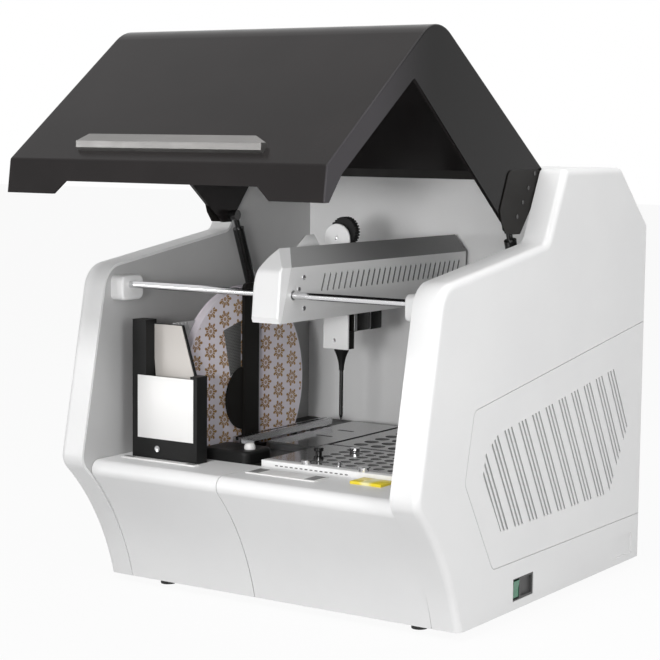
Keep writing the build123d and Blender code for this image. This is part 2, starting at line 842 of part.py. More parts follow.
# Studs on the skirts for the struts, and low screw heads on the hinge plates
with BuildPart() as lid_screws:
    screw_reaches = ((-30.0, 8.0), (-48.5, -12.4), (-64.5, -32.3), (-80.5, -52.0))
    for side in (-1, 1):
        with BuildSketch(Plane.YZ.offset(side * plate_outer_x)):
            with Locations(*[from_pivot(reach) for reach in screw_reaches]):
                Circle(3.2)
        extrude(amount=side * 0.6)
        with BuildSketch(Plane.YZ.offset(side * (lid_half_width - lid_wall))):
            with Locations(strut_top):
                Circle(strut_stud_radius + 3)
        extrude(amount=-side * (lid_half_width - lid_wall - strut_x - strut_eye_width / 2 - seam))
lid_screws.part.label = "lid_screws"
export_step(lid_screws.part, "parts/lid_screws.step")

# Hinge pins held in the cheeks
with BuildPart() as hinge_pins:
    for side in (-1, 1):
        with BuildSketch(Plane.YZ.offset(side * (lid_half_width - 1))):
            with Locations(pivot):
                Circle(pivot_pin_radius)
        extrude(amount=side * (inner_x + cheek_thickness / 2 - lid_half_width + 1))
hinge_pins.part.label = "hinge_pins"
export_step(hinge_pins.part, "parts/hinge_pins.step")

# Lower mounts of the struts on the inner walls
with BuildPart() as strut_mounts:
    for side in (-1, 1):
        with BuildSketch(Plane.YZ.offset(side * inner_x)):
            with Locations(strut_foot):
                RectangleRounded(26, 40, 5)
        extrude(amount=-side * 3)
        with BuildSketch(Plane.YZ.offset(side * (inner_x - 3))):
            with Locations(strut_foot):
                Circle(strut_stud_radius)
        extrude(amount=-side * (inner_x - 3 - strut_x + strut_eye_width / 2 + 1))
strut_mounts.part.label = "strut_mounts"
export_step(strut_mounts.part, "parts/strut_mounts.step")

# Strut rods: a lower eye and a round rod that enters the cylinder
strut_length = math.hypot(strut_top[0] - strut_foot[0], strut_top[1] - strut_foot[1])
strut_way = (
    0,
    (strut_top[0] - strut_foot[0]) / strut_length,
    (strut_top[1] - strut_foot[1]) / strut_length,
)
cylinder_start = strut_length - strut_cylinder_length
rod_inside = 25.0
with BuildPart() as strut_rods:
    for side in (-1, 1):
        with BuildSketch(Plane.YZ.offset(side * strut_x - strut_eye_width / 2)):
            with Locations(strut_foot):
                Circle(strut_eye_radius)
        extrude(amount=strut_eye_width)
        foot = Vector(side * strut_x, *strut_foot)
        way = Vector(*strut_way)
        with BuildSketch(Plane(foot + way * (strut_eye_radius - 2), x_dir=(1, 0, 0), z_dir=way)):
            Circle(strut_rod_radius)
        extrude(amount=cylinder_start + rod_inside - strut_eye_radius + 2)
    with Locations(Plane((0, *strut_foot), z_dir=(1, 0, 0))):
        Cylinder(strut_stud_radius + strut_clearance, housing_width, mode=Mode.SUBTRACT)
strut_rods.part.label = "strut_rods"
export_step(strut_rods.part, "parts/strut_rods.step")

# Strut cylinders with their upper eyes
with BuildPart() as strut_cylinders:
    for side in (-1, 1):
        foot = Vector(side * strut_x, *strut_foot)
        way = Vector(*strut_way)
        with BuildSketch(Plane(foot + way * cylinder_start, x_dir=(1, 0, 0), z_dir=way)):
            Circle(strut_cylinder_radius)
        extrude(amount=strut_cylinder_length - strut_neck_length)
        # A slimmer neck carries the upper eye clear of the stud on the lid
        with BuildSketch(Plane(foot + way * (strut_length - strut_neck_length), x_dir=(1, 0, 0), z_dir=way)):
            Circle(strut_neck_radius)
        extrude(amount=strut_neck_length - strut_eye_radius + 2)
        with BuildSketch(Plane.YZ.offset(side * strut_x - strut_eye_width / 2)):
            with Locations(strut_top):
                Circle(strut_eye_radius)
        extrude(amount=strut_eye_width)
        bore_depth = strut_cylinder_length - strut_neck_length - 6
        with BuildSketch(Plane(foot + way * cylinder_start, x_dir=(1, 0, 0), z_dir=way)):
            Circle(strut_rod_radius + strut_clearance)
        extrude(amount=bore_depth, mode=Mode.SUBTRACT)
strut_cylinders.part.label = "strut_cylinders"
export_step(strut_cylinders.part, "parts/strut_cylinders.step")

# Cross section of the arm in X and Z: flat right side, rounded top left
with BuildSketch() as arm_outline:
    with BuildLine():
        round_start = (arm_left_x, arm_round_low_z)
        round_end = (arm_top_right_x, arm_top_z)
        Polyline(
            round_start,
            (arm_left_x, arm_low_z),
            (arm_right_x, arm_low_z),
            (arm_right_x, arm_crease_z),
            round_end,
        )
        ThreePointArc(round_end, arm_round_mid, round_start)
    make_face()

# Slanted seam between the cap and the cover, in Y and Z
arm_seam = [
    (arm_seam_low_y, arm_low_z - 1),
    (arm_seam_crease_y, arm_crease_z),
    (arm_seam_top_y, arm_top_z + 1),
]

# Arm cover: bent sheet with slanted slots, open below and on the left
with BuildPart() as arm_cover:
    with BuildSketch(Plane.XZ.offset(-arm_seam_low_y)) as cover_section:
        add(arm_outline.sketch)
        with BuildSketch(mode=Mode.SUBTRACT):
            add(arm_outline.sketch)
            offset(amount=-arm_cover_thickness)
        open_width = arm_right_x - arm_cover_thickness - arm_left_x + 1
        with Locations((arm_left_x - 1, arm_low_z - 1)):
            Rectangle(
                open_width,
                arm_left_skirt_z - arm_low_z + 1,
                align=(Align.MIN, Align.MIN),
                mode=Mode.SUBTRACT,
            )
    extrude(amount=-(arm_rear_y - arm_seam_low_y))
    with BuildSketch(Plane.YZ.offset(arm_left_x - 1)):
        with BuildLine():
            Polyline(*arm_seam, (arm_seam_low_y - 1, arm_top_z + 1), close=True)
        make_face()
    extrude(amount=arm_right_x - arm_left_x + 2, mode=Mode.SUBTRACT)
    with BuildSketch(Plane.YZ.offset(arm_right_x - 3 * arm_cover_thickness)):
        for slot in range(arm_slot_count):
            with Locations((arm_slot_first_y + slot * arm_slot_pitch, arm_slot_z)):
                SlotOverall(arm_slot_length, arm_slot_width, rotation=90 - arm_slot_lean)
        with Locations((rod_y, rod_z)):
            Circle(rod_radius + 2)
    extrude(amount=6 * arm_cover_thickness, mode=Mode.SUBTRACT)
arm_cover.part.label = "arm_cover"
export_step(arm_cover.part, "parts/arm_cover.step")

# Arm beam: square tube from the bush to the rear carriage
beam_x = (arm_left_x + 3, arm_right_x - arm_cover_thickness)
beam_z = (arm_low_z + 7, arm_crease_z - 14)
bush_half = 17.0
beam_front_y = rod_y + bush_half
beam_wall = 3.0
with BuildPart() as arm_beam:
    beam_y = (beam_front_y, rail_front_y - 8)
    box_between(beam_x, beam_y, beam_z)
    inner_beam_x = (beam_x[0] + beam_wall, beam_x[1] - beam_wall)
    inner_beam_z = (beam_z[0] + beam_wall, beam_z[1] - beam_wall)
    box_between(inner_beam_x, beam_y, inner_beam_z, mode=Mode.SUBTRACT)
arm_beam.part.label = "arm_beam"
export_step(arm_beam.part, "parts/arm_beam.step")

# Bush block that slides on the guide rod
with BuildPart() as rod_bush:
    bush_y = (rod_y - 0.75 * bush_half, beam_front_y)
    bush_z = (rod_z - bush_half, rod_z + bush_half)
    box_between(beam_x, bush_y, bush_z)
    with Locations(Plane((0, rod_y, rod_z), z_dir=(1, 0, 0))):
        Cylinder(rod_radius + rod_clearance, housing_width, mode=Mode.SUBTRACT)
rod_bush.part.label = "rod_bush"
export_step(rod_bush.part, "parts/rod_bush.step")

# End cap: rounded nose in front of the cover
with BuildPart() as arm_end_cap:
    with BuildSketch(Plane.YZ.offset(arm_left_x)) as cap_profile:
        with BuildLine():
            Polyline(
                (cap_chin_y, arm_low_z - 1),
                (cap_front_y, arm_low_z + 8),
                (cap_brow_y, arm_crease_z - 4),
                (cap_top_y, arm_top_z),
                (cap_top_y + 1, arm_top_z + 1),
                *[(seam_y - cap_seam_gap, seam_z) for seam_y, seam_z in reversed(arm_seam)],
                close=True,
            )
        make_face()
        fillet(cap_profile.vertices().sort_by_distance((cap_brow_y, arm_crease_z - 4))[0], 14)
    extrude(amount=arm_right_x - arm_left_x)
    with BuildSketch(Plane.XZ.offset(-cap_front_y + 1)):
        add(arm_outline.sketch)
    extrude(amount=cap_front_y - 1 - arm_seam_top_y, mode=Mode.INTERSECT)
    front_face = arm_end_cap.faces().sort_by_distance((arm_right_x / 2, cap_front_y, arm_low_z + 40))[0]
    upright_edges = [edge for edge in front_face.edges() if edge.bounding_box().size.Z > 20]
    fillet(upright_edges, cap_edge_round)
    # Hollow towards the bush
    hollow_y = (cap_front_y + 14, arm_seam_top_y)
    hollow_x = (beam_x[0] - seam, beam_x[1] + seam)
    hollow_z = (bush_z[0] - seam, bush_z[1] + seam)
    box_between(hollow_x, hollow_y, hollow_z, mode=Mode.SUBTRACT)
arm_end_cap.part.label = "arm_end_cap"
export_step(arm_end_cap.part, "parts/arm_end_cap.step")

# Rear carriage: block that wraps the rail
with BuildPart() as rear_carriage:
    carriage_y = (rail_front_y - 8, back_wall_y - 4)
    carriage_z = (rail_z - rail_height / 2 - 10, rail_z + rail_height / 2 + 10)
    box_between(beam_x, carriage_y, carriage_z)
    box_between(
        beam_x,
        (rail_front_y - running_gap, back_wall_y),
        (rail_z - rail_height / 2 - running_gap, rail_z + rail_height / 2 + running_gap),
        mode=Mode.SUBTRACT,
    )
rear_carriage.part.label = "rear_carriage"
export_step(rear_carriage.part, "parts/rear_carriage.step")

# Rail on the left face of the arm
y_rail_z = (448.0, 458.0)
y_rail_y = (-125.0, 235.0)
y_rail_x = (probe_cover_x + probe_cover_width / 2 + 2 * seam, beam_x[0])
with BuildPart() as y_rail:
    box_between(y_rail_x, y_rail_y, y_rail_z)
y_rail.part.label = "y_rail"
export_step(y_rail.part, "parts/y_rail.step")

# Probe carriage: runner on the rail, spine plate and lower block
spine_y = (probe_cover_front_y + 19, probe_cover_front_y + 23)
cover_back_y = probe_cover_front_y + probe_cover_thickness
unit_x = (probe_cover_x - probe_cover_width / 2 + 2, probe_cover_x + probe_cover_width / 2 - 4)
block_z = (probe_unit_low_z, probe_unit_low_z + probe_block_height)
runner_wall = 6.0
clamp_low_z = block_z[1] + probe_travel + 12
clamp_top_z = clamp_low_z + probe_clamp_height
lug_z = (clamp_top_z + 5, clamp_top_z + 5 + probe_lug_thickness)
with BuildPart() as z_carriage:
    box_between(unit_x, (cover_back_y, spine_y[1]), block_z)
    box_between(unit_x, spine_y, (block_z[0], pulley_z + 12))
    runner_x = (unit_x[1] - 8, beam_x[0] - 1)
    runner_z = (y_rail_z[0] - runner_wall, y_rail_z[1] + runner_wall)
    box_between(runner_x, (spine_y[0], spine_y[1] + 26), runner_z)
    box_between(
        (y_rail_x[0] - running_gap, beam_x[0]),
        (spine_y[0], spine_y[1] + 26),
        (y_rail_z[0] - running_gap, y_rail_z[1] + running_gap),
        mode=Mode.SUBTRACT,
    )
    # Guide bores for the probe shaft, in the block and in an upper lug
    box_between(unit_x, (cover_back_y, spine_y[0]), lug_z)
    with Locations((probe_x, probe_y, block_z[0])):
        Cylinder(
            probe_shaft_radius + running_gap,
            lug_z[1] - block_z[0],
            align=(Align.CENTER, Align.CENTER, Align.MIN),
            mode=Mode.SUBTRACT,
        )
    # Pin of the toothed pulley
    with BuildSketch(Plane.XZ.offset(-cover_back_y - 2)):
        with Locations((pulley_x, pulley_z)):
            Circle(4)
    extrude(amount=-(spine_y[0] - cover_back_y - 2))
z_carriage.part.label = "z_carriage"
export_step(z_carriage.part, "parts/z_carriage.step")

# Front cover of the probe unit: long plate with a round top
with BuildPart() as z_cover:
    with BuildSketch(Plane.XZ.offset(-cover_back_y)):
        half_cover = probe_cover_width / 2
        with Locations((probe_cover_x, (probe_unit_low_z + probe_cover_centre_z) / 2)):
            Rectangle(probe_cover_width, probe_cover_centre_z - probe_unit_low_z)
        with Locations((probe_cover_x, probe_cover_centre_z)):
            Circle(half_cover)
    extrude(amount=probe_cover_thickness)
    fillet(z_cover.faces().sort_by(Axis.Y)[0].edges(), 1)
z_cover.part.label = "z_cover"
export_step(z_cover.part, "parts/z_cover.step")

# Small motor behind the spine plate
with BuildPart() as z_motor:
    half_motor = z_motor_side / 2
    motor_x = (probe_x - half_motor, probe_x + half_motor)
    motor_z = (z_motor_z - half_motor, z_motor_z + half_motor)
    box_between(motor_x, (spine_y[1], spine_y[1] + z_motor_length), motor_z)
    fillet(z_motor.edges().filter_by(Axis.Y), 3)
z_motor.part.label = "z_motor"
export_step(z_motor.part, "parts/z_motor.step")

# Toothed pulley behind the round top of the cover
with BuildPart() as z_pulley:
    with BuildSketch(Plane.XZ.offset(-cover_back_y - 3)):
        with Locations((pulley_x, pulley_z)):
            Circle(pulley_radius - 2)
            with PolarLocations(pulley_radius - 2, pulley_teeth):
                Rectangle(4, 2.4)
            Circle(4 + running_gap, mode=Mode.SUBTRACT)
    extrude(amount=-pulley_thickness)
z_pulley.part.label = "z_pulley"
export_step(z_pulley.part, "parts/z_pulley.step")

# Probe: shaft with a clamp, cone and needle
with BuildPart() as probe_slider:
    with BuildSketch(Plane.XY.offset(probe_unit_low_z)):
        with Locations((probe_x, probe_y)):
            Circle(probe_shaft_radius)
    extrude(amount=lug_z[1] + probe_travel + 8 - probe_unit_low_z)
    with BuildSketch(Plane.XY.offset(clamp_low_z)):
        with Locations((probe_x, probe_y)):
            RectangleRounded(22, 14, 3)
    extrude(amount=probe_clamp_height)
probe_slider.part.label = "probe_slider"
export_step(probe_slider.part, "parts/probe_slider.step")

cone_low_z = probe_unit_low_z - probe_cone_length
with BuildPart() as probe_cone:
    with BuildSketch(Plane.XZ.offset(-probe_y)) as cone_profile:
        with BuildLine():
            Polyline(
                (probe_x + probe_cone_radius, probe_unit_low_z - probe_cone_lip),
                (probe_x + probe_cone_radius, probe_unit_low_z - running_gap),
                (probe_x + probe_shaft_radius, probe_unit_low_z - running_gap),
                (probe_x + probe_shaft_radius, probe_unit_low_z),
                (probe_x, probe_unit_low_z),
                (probe_x, cone_low_z),
                (probe_x + probe_needle_radius + 0.9, cone_low_z),
            )
            ThreePointArc(
                (probe_x + probe_needle_radius + 0.9, cone_low_z),
                (probe_x + probe_cone_waist, probe_unit_low_z - probe_cone_waist_drop),
                (probe_x + probe_cone_radius, probe_unit_low_z - probe_cone_lip),
            )
        make_face()
    revolve(axis=Axis((probe_x, probe_y, 0), (0, 0, 1)))
probe_cone.part.label = "probe_cone"
export_step(probe_cone.part, "parts/probe_cone.step")

with BuildPart() as probe_needle:
    with BuildSketch(Plane.XZ.offset(-probe_y)) as needle_profile:
        with BuildLine():
            Polyline(
                (probe_x, cone_low_z),
                (probe_x + probe_needle_radius, cone_low_z),
                (probe_x + probe_needle_radius, probe_tip_z + 7),
                (probe_x + 1.0, probe_tip_z),
                (probe_x, probe_tip_z),
                close=True,
            )
        make_face()
    revolve(axis=Axis((probe_x, probe_y, 0), (0, 0, 1)))
probe_needle.part.label = "probe_needle"
export_step(probe_needle.part, "parts/probe_needle.step")

# Cuvette reel: wound strip between two printed discs
hub_bore_radius = axle_radius + pivot_clearance
with BuildPart() as cuvette_reel:
    with BuildSketch(Plane.YZ.offset(reel_left_x)):
        with Locations((reel_y, reel_z)):
            Circle(reel_radius)
            Circle(hub_sleeve_radius, mode=Mode.SUBTRACT)
    extrude(amount=reel_thickness)
    with BuildSketch(Plane.YZ.offset(reel_left_x + reel_flange)):
        with Locations((reel_y, reel_z)):
            Circle(reel_radius)
            Circle(reel_radius - reel_pack_inset, mode=Mode.SUBTRACT)
    extrude(amount=reel_thickness - 2 * reel_flange, mode=Mode.SUBTRACT)
cuvette_reel.part.label = "cuvette_reel"
export_step(cuvette_reel.part, "parts/cuvette_reel.step")

# Hub: sleeve in the bore of the reel with a disc on its face
with BuildPart() as reel_hub:
    with BuildSketch(Plane.YZ.offset(reel_left_x)):
        with Locations((reel_y, reel_z)):
            Circle(hub_sleeve_radius - rod_clearance)
    extrude(amount=reel_thickness)
    with BuildSketch(Plane.YZ.offset(reel_face_x)):
        with Locations((reel_y, reel_z)):
            Circle(hub_radius)
    extrude(amount=hub_thickness)
    with Locations(Plane((reel_face_x, reel_y, reel_z), z_dir=(1, 0, 0))):
        Cylinder(hub_bore_radius, 6 * reel_thickness, mode=Mode.SUBTRACT)
reel_hub.part.label = "reel_hub"
export_step(reel_hub.part, "parts/reel_hub.step")

# Post with the fixed axle of the reel
post_near_x = reel_face_x + hub_thickness + post_gap
post_x = (post_near_x, post_near_x + post_thickness)
with BuildPart() as reel_post:
    box_between(post_x, (post_front_y, post_back_y), (deck_z, post_top_z))
    fillet(reel_post.edges().filter_by(Axis.X).group_by(Axis.Z)[-1], 8)
    box_between((post_x[0], post_x[1] + 14), (post_front_y, post_back_y), (deck_z, deck_z + 5))
    # Half-round guard that keeps the reel on its axle
    with BuildSketch(Plane.YZ.offset(post_x[0])):
        with Locations(guard_centre):
            Circle(guard_radius)
        with Locations((post_back_y, guard_centre[1])):
            Rectangle(
                2 * guard_radius,
                2 * guard_radius,
                align=(Align.MIN, Align.CENTER),
                mode=Mode.SUBTRACT,
            )
    extrude(amount=guard_thickness)
    with BuildSketch(Plane.YZ.offset(post_x[0])):
        with Locations((reel_y, reel_z)):
            Circle(axle_radius)
    extrude(amount=-(post_x[0] - reel_left_x + 6))
reel_post.part.label = "reel_post"
export_step(reel_post.part, "parts/reel_post.step")

# Cuvette loader: black open box with a tall left column
with BuildPart() as cuvette_loader:
    loader_y = (loader_front_y, loader_back_y)
    loader_x = (loader_left_x, loader_right_x)
    column_x = (loader_left_x, loader_left_x + loader_column)
    base_top_z = ledge_z + loader_base_height
    box_between(loader_x, loader_y, (ledge_z, base_top_z))
    box_between(column_x, loader_y, (ledge_z, loader_top_z))
    right_x = (loader_right_x - loader_right_column, loader_right_x)
    box_between(right_x, loader_y, (ledge_z, loader_label_top_z + 4))
    box_between(loader_x, (loader_front_y, loader_front_y + loader_wall), (ledge_z, loader_label_top_z))
    with BuildSketch(Plane.XZ.offset(-loader_back_y)):
        with BuildLine():
            Polyline(
                (column_x[1], ledge_z),
                (column_x[1], loader_top_z - 6),
                (loader_slope_top_x, loader_top_z - 6),
                (loader_slope_foot_x, loader_label_top_z + 4),
                (loader_right_x, loader_label_top_z + 4),
                (loader_right_x, ledge_z),
                close=True,
            )
        make_face()
    extrude(amount=loader_wall)
cuvette_loader.part.label = "cuvette_loader"
export_step(cuvette_loader.part, "parts/cuvette_loader.step")

# Cuvette track: grooved metal rail along the chamber
with BuildPart() as cuvette_track:
    track_x_range = (track_x - track_width / 2, track_x + track_width / 2)
    box_between(track_x_range, (track_front_y, track_back_y), (track_top_z - 10, track_top_z))
    groove_x = (track_x - 2.5, track_x + 2.5)
    box_between(groove_x, (track_front_y, track_back_y), (track_top_z - 5, track_top_z), mode=Mode.SUBTRACT)
    for leg_y in (track_front_y + 20, 110.0, track_back_y - 28):
        box_between(track_x_range, (leg_y, leg_y + 12), (deck_z, track_top_z - 10))
cuvette_track.part.label = "cuvette_track"
export_step(cuvette_track.part, "parts/cuvette_track.step")

# Sensor block in front of the track
with BuildPart() as track_sensor:
    with BuildSketch(Plane.XY.offset(deck_z)):
        with Locations(sensor_place):
            RectangleRounded(sensor_size[0], sensor_size[1], 12)
    extrude(amount=sensor_size[2])
    fillet(track_sensor.faces().sort_by(Axis.Z)[-1].edges(), 5)
track_sensor.part.label = "track_sensor"
export_step(track_sensor.part, "parts/track_sensor.step")

# Incubator block and the glossy plate on it
with BuildPart() as incubator_block:
    block_x = (plate_left_x + 4, plate_right_x - 4)
    block_y = (plate_front_y + 4, plate_back_y - 4)
    box_between(block_x, block_y, (deck_z, fitting_top_z - plate_thickness))
incubator_block.part.label = "incubator_block"
export_step(incubator_block.part, "parts/incubator_block.step")

with BuildPart() as measuring_plate:
    plate_z = (fitting_top_z - plate_thickness, fitting_top_z)
    box_between((plate_left_x, plate_right_x), (plate_front_y, plate_back_y), plate_z)
    fillet(measuring_plate.edges().filter_by(Axis.Z), 4)
    with BuildSketch(Plane.XY.offset(plate_z[0])):
        with Locations(((plate_left_x + plate_right_x) / 2, (plate_front_y + plate_back_y) / 2)):
            with GridLocations(0, 60, 1, 2):
                SlotOverall(30, 7)
    extrude(amount=plate_thickness, mode=Mode.SUBTRACT)
measuring_plate.part.label = "measuring_plate"
export_step(measuring_plate.part, "parts/measuring_plate.step")

# Racks: trays with a grid of holes
for rack_name, rack_x, rack_y, hole_radius, pitch, grid, first in (
    (
        "reagent_rack",
        reagent_rack_x,
        reagent_rack_y,
        reagent_hole_radius,
        reagent_pitch,
        reagent_grid,
        reagent_first,
    ),
    (
        "sample_rack",
        sample_rack_x,
        sample_rack_y,
        sample_hole_radius,
        sample_pitch,
        sample_grid,
        sample_first,
    ),
):
    with BuildPart() as rack:
        box_between(rack_x, rack_y, (deck_z, fitting_top_z))
        inner_rack_x = (rack_x[0] + rack_wall, rack_x[1] - rack_wall)
        inner_rack_y = (rack_y[0] + rack_wall, rack_y[1] - rack_wall)
        box_between(inner_rack_x, inner_rack_y, (deck_z, fitting_top_z - rack_top), mode=Mode.SUBTRACT)
        with BuildSketch(Plane.XY.offset(fitting_top_z - rack_top)):
            grid_centre_x = first[0] + pitch[0] * (grid[0] - 1) / 2
            grid_centre_y = first[1] + pitch[1] * (grid[1] - 1) / 2
            with Locations((grid_centre_x, grid_centre_y)):
                with GridLocations(pitch[0], pitch[1], grid[0], grid[1]):
                    Circle(hole_radius)
        extrude(amount=rack_top, mode=Mode.SUBTRACT)
    rack.part.label = rack_name
    export_step(rack.part, f"parts/{rack_name}.step")

# White strip in front of the reagent rack
with BuildPart() as rack_front_strip:
    strip_y = (strip_front_y, reagent_rack_y[0] - seam)
    box_between((strip_left_x, rack_right_x), strip_y, (deck_z, fitting_top_z))
    chamfer(rack_front_strip.edges().group_by(Axis.Z)[-1], 0.8)
rack_front_strip.part.label = "rack_front_strip"
export_step(rack_front_strip.part, "parts/rack_front_strip.step")

# Thumbscrews of the racks
with BuildPart() as thumbscrews:
    with BuildSketch(Plane.XY.offset(fitting_top_z)):
        with Locations(*thumbscrew_places):
            RegularPolygon(thumbscrew_radius, 16)
    extrude(amount=thumbscrew_height)
    with BuildSketch(Plane.XY.offset(fitting_top_z + thumbscrew_height - 2)):
        with Locations(*thumbscrew_places):
            Circle(2)
    extrude(amount=2, mode=Mode.SUBTRACT)
thumbscrews.part.label = "thumbscrews"
export_step(thumbscrews.part, "parts/thumbscrews.step")

# Frame of the switch recess, with the socket cover beside the rocker
rocker_centre = (recess_y[0] + 3 + rocker_width / 2, (recess_z[0] + recess_z[1]) / 2)
rocker_pivot_x = outer_x - rocker_radius
with BuildPart() as switch_frame:
    frame_x = (outer_x - frame_depth, outer_x - 1)
    frame_y = (recess_y[0] + seam, recess_y[1] - seam)
    frame_z = (recess_z[0] + seam, recess_z[1] - seam)
    box_between(frame_x, frame_y, frame_z)
    rocker_y = (
        rocker_centre[0] - rocker_width / 2 - rocker_clearance,
        rocker_centre[0] + rocker_width / 2 + rocker_clearance,
    )
    rocker_hole = rocker_height / 2 + 2.2
    rocker_hole_z = (rocker_centre[1] - rocker_hole, rocker_centre[1] + rocker_hole)
    box_between((frame_x[0] + 1, outer_x), rocker_y, rocker_hole_z, mode=Mode.SUBTRACT)
    socket_y = (rocker_y[1] + 4, frame_y[1] - 3)
    box_between((outer_x - 5, outer_x), socket_y, (frame_z[0] + 3, frame_z[1] - 3), mode=Mode.SUBTRACT)
    # Trunnion pin of the rocker
    with Locations(Plane((rocker_pivot_x, rocker_centre[0], rocker_centre[1]), z_dir=(0, 1, 0))):
        Cylinder(1.5, rocker_width + 2)
switch_frame.part.label = "switch_frame"
export_step(switch_frame.part, "parts/switch_frame.step")

# Rocker: a shallow V in profile, pressed at its lower half
with BuildPart() as rocker_switch:
    with BuildSketch(Plane.XZ.offset(-rocker_centre[0] + rocker_width / 2)) as rocker_profile:
        with BuildLine():
            half = rocker_height / 2
            middle_z = rocker_centre[1]
            Polyline(
                (rocker_pivot_x - 2.0, middle_z - 3),
                (outer_x - 4.4, middle_z - half),
                (outer_x - 2.0, middle_z - half),
                (outer_x - 1.8, middle_z),
                (outer_x - 0.4, middle_z + half),
                (outer_x - 2.6, middle_z + half),
                (rocker_pivot_x - 2.0, middle_z + 3),
                close=True,
            )
        make_face()
    extrude(amount=-rocker_width)
    with Locations(Plane((rocker_pivot_x, rocker_centre[0], rocker_centre[1]), z_dir=(0, 1, 0))):
        Cylinder(1.5 + running_gap, rocker_width + 2, mode=Mode.SUBTRACT)
rocker_switch.part.label = "rocker_switch"
export_step(rocker_switch.part, "parts/rocker_switch.step")

# Mains inlet in the rear panel
inner_rear_y = rear_y - sheet - seam
with BuildPart() as mains_inlet:
    inlet_x_range = (inlet_x - inlet_size[0] / 2, inlet_x + inlet_size[0] / 2)
    inlet_z_range = (inlet_z - inlet_size[1] / 2, inlet_z + inlet_size[1] / 2)
    box_between(inlet_x_range, (inner_rear_y - inlet_depth, inner_rear_y), inlet_z_range)
    socket_x_range = (inlet_x - 14, inlet_x + 14)
    socket_z_range = (inlet_z - 9, inlet_z + 9)
    box_between(socket_x_range, (inner_rear_y - 20, inner_rear_y), socket_z_range, mode=Mode.SUBTRACT)
    for pin_x, pin_z in ((-7, -2), (0, 3), (7, -2)):
        with Locations((inlet_x + pin_x, inner_rear_y - 12, inlet_z + pin_z)):
            Box(2, 18, 4)
mains_inlet.part.label = "mains_inlet"
export_step(mains_inlet.part, "parts/mains_inlet.step")

# Fan frame and rotor inside the rear panel
fan_y = (inner_rear_y - fan_depth, inner_rear_y)
with BuildPart() as fan_frame:
    half_fan = fan_side / 2
    box_between((fan_x - half_fan, fan_x + half_fan), fan_y, (fan_z - half_fan, fan_z + half_fan))
    fillet(fan_frame.edges().filter_by(Axis.Y), 5)
    with BuildSketch(Plane.XZ.offset(-fan_y[1])):
        with Locations((fan_x, fan_z)):
            Circle(fan_bore_radius)
    extrude(amount=fan_depth, mode=Mode.SUBTRACT)
    # Three spokes and the fixed axle
    with BuildSketch(Plane.XZ.offset(-fan_y[0])):
        with Locations((fan_x, fan_z)):
            for turn in (0, 60, 120):
                Rectangle(2 * fan_bore_radius + 2, 5, rotation=turn)
            Circle(fan_hub_radius)
    extrude(amount=-4)
    with BuildSketch(Plane.XZ.offset(-fan_y[0] - 4)):
        with Locations((fan_x, fan_z)):
            Circle(fan_axle_radius)
    extrude(amount=-(fan_depth - 6))
fan_frame.part.label = "fan_frame"
export_step(fan_frame.part, "parts/fan_frame.step")

with BuildPart() as fan_rotor:
    rotor_front_y = fan_y[0] + 5.5
    rotor_depth = fan_depth - 8
    with BuildSketch(Plane.XZ.offset(-rotor_front_y)):
        with Locations((fan_x, fan_z)):
            Circle(fan_hub_radius)
            Circle(fan_axle_radius + fan_clearance, mode=Mode.SUBTRACT)
    extrude(amount=-rotor_depth)
    blade_span = fan_rotor_radius - fan_hub_radius + 2
    for blade in range(fan_blades):
        turn = 360 / fan_blades * blade
        blade_middle = fan_hub_radius - 2 + blade_span / 2
        way = Vector(math.cos(math.radians(turn)), 0, math.sin(math.radians(turn)))
        centre = Vector(fan_x, rotor_front_y + rotor_depth / 2, fan_z) + way * blade_middle
        with Locations(Plane(centre, x_dir=way, z_dir=(0, 1, 0)) * Rotation(40, 0, 0)):
            Box(blade_span, 1.6, rotor_depth - 2)
fan_rotor.part.label = "fan_rotor"
export_step(fan_rotor.part, "parts/fan_rotor.step")

# Power supply, control board and syringe pump on the tray
tray_top_z = bottom_z + sheet
supply_left_x = -inner_x + supply_inset
supply_back_y = rear_y - 50
with BuildPart() as power_supply:
    box_between(
        (supply_left_x, supply_left_x + supply_size[0]),
        (supply_back_y - supply_size[1], supply_back_y),
        (tray_top_z, tray_top_z + supply_size[2]),
    )
    with BuildSketch(Plane.XY.offset(tray_top_z + supply_size[2] - 2)):
        with Locations((supply_left_x + supply_size[0] / 2, supply_back_y - supply_size[1] / 2)):
            with GridLocations(14, 14, 6, 10):
                Circle(4)
    extrude(amount=2, mode=Mode.SUBTRACT)
power_supply.part.label = "power_supply"
export_step(power_supply.part, "parts/power_supply.step")

with BuildPart() as control_board:
    board_z = tray_top_z + board_rise
    board_top_z = board_z + board_thickness
    box_between(board_x, board_y, (board_z, board_top_z))
    board_middle = ((board_x[0] + board_x[1]) / 2, (board_y[0] + board_y[1]) / 2)
    with Locations((*board_middle, tray_top_z + board_rise / 2)):
        with GridLocations(board_x[1] - board_x[0] - 16, board_y[1] - board_y[0] - 16, 2, 2):
            Cylinder(4, board_rise)
    for chip_x, chip_y, chip_width, chip_depth, chip_height in (
        (0, 230, 30, 30, 3),
        (60, 300, 24, 14, 4),
        (110, 210, 16, 50, 11),
        (-40, 310, 20, 30, 15),
    ):
        chip_z = (board_top_z, board_top_z + chip_height)
        chip_ends = (chip_x - chip_width / 2, chip_x + chip_width / 2)
        box_between(chip_ends, (chip_y - chip_depth / 2, chip_y + chip_depth / 2), chip_z)
control_board.part.label = "control_board"
export_step(control_board.part, "parts/control_board.step")

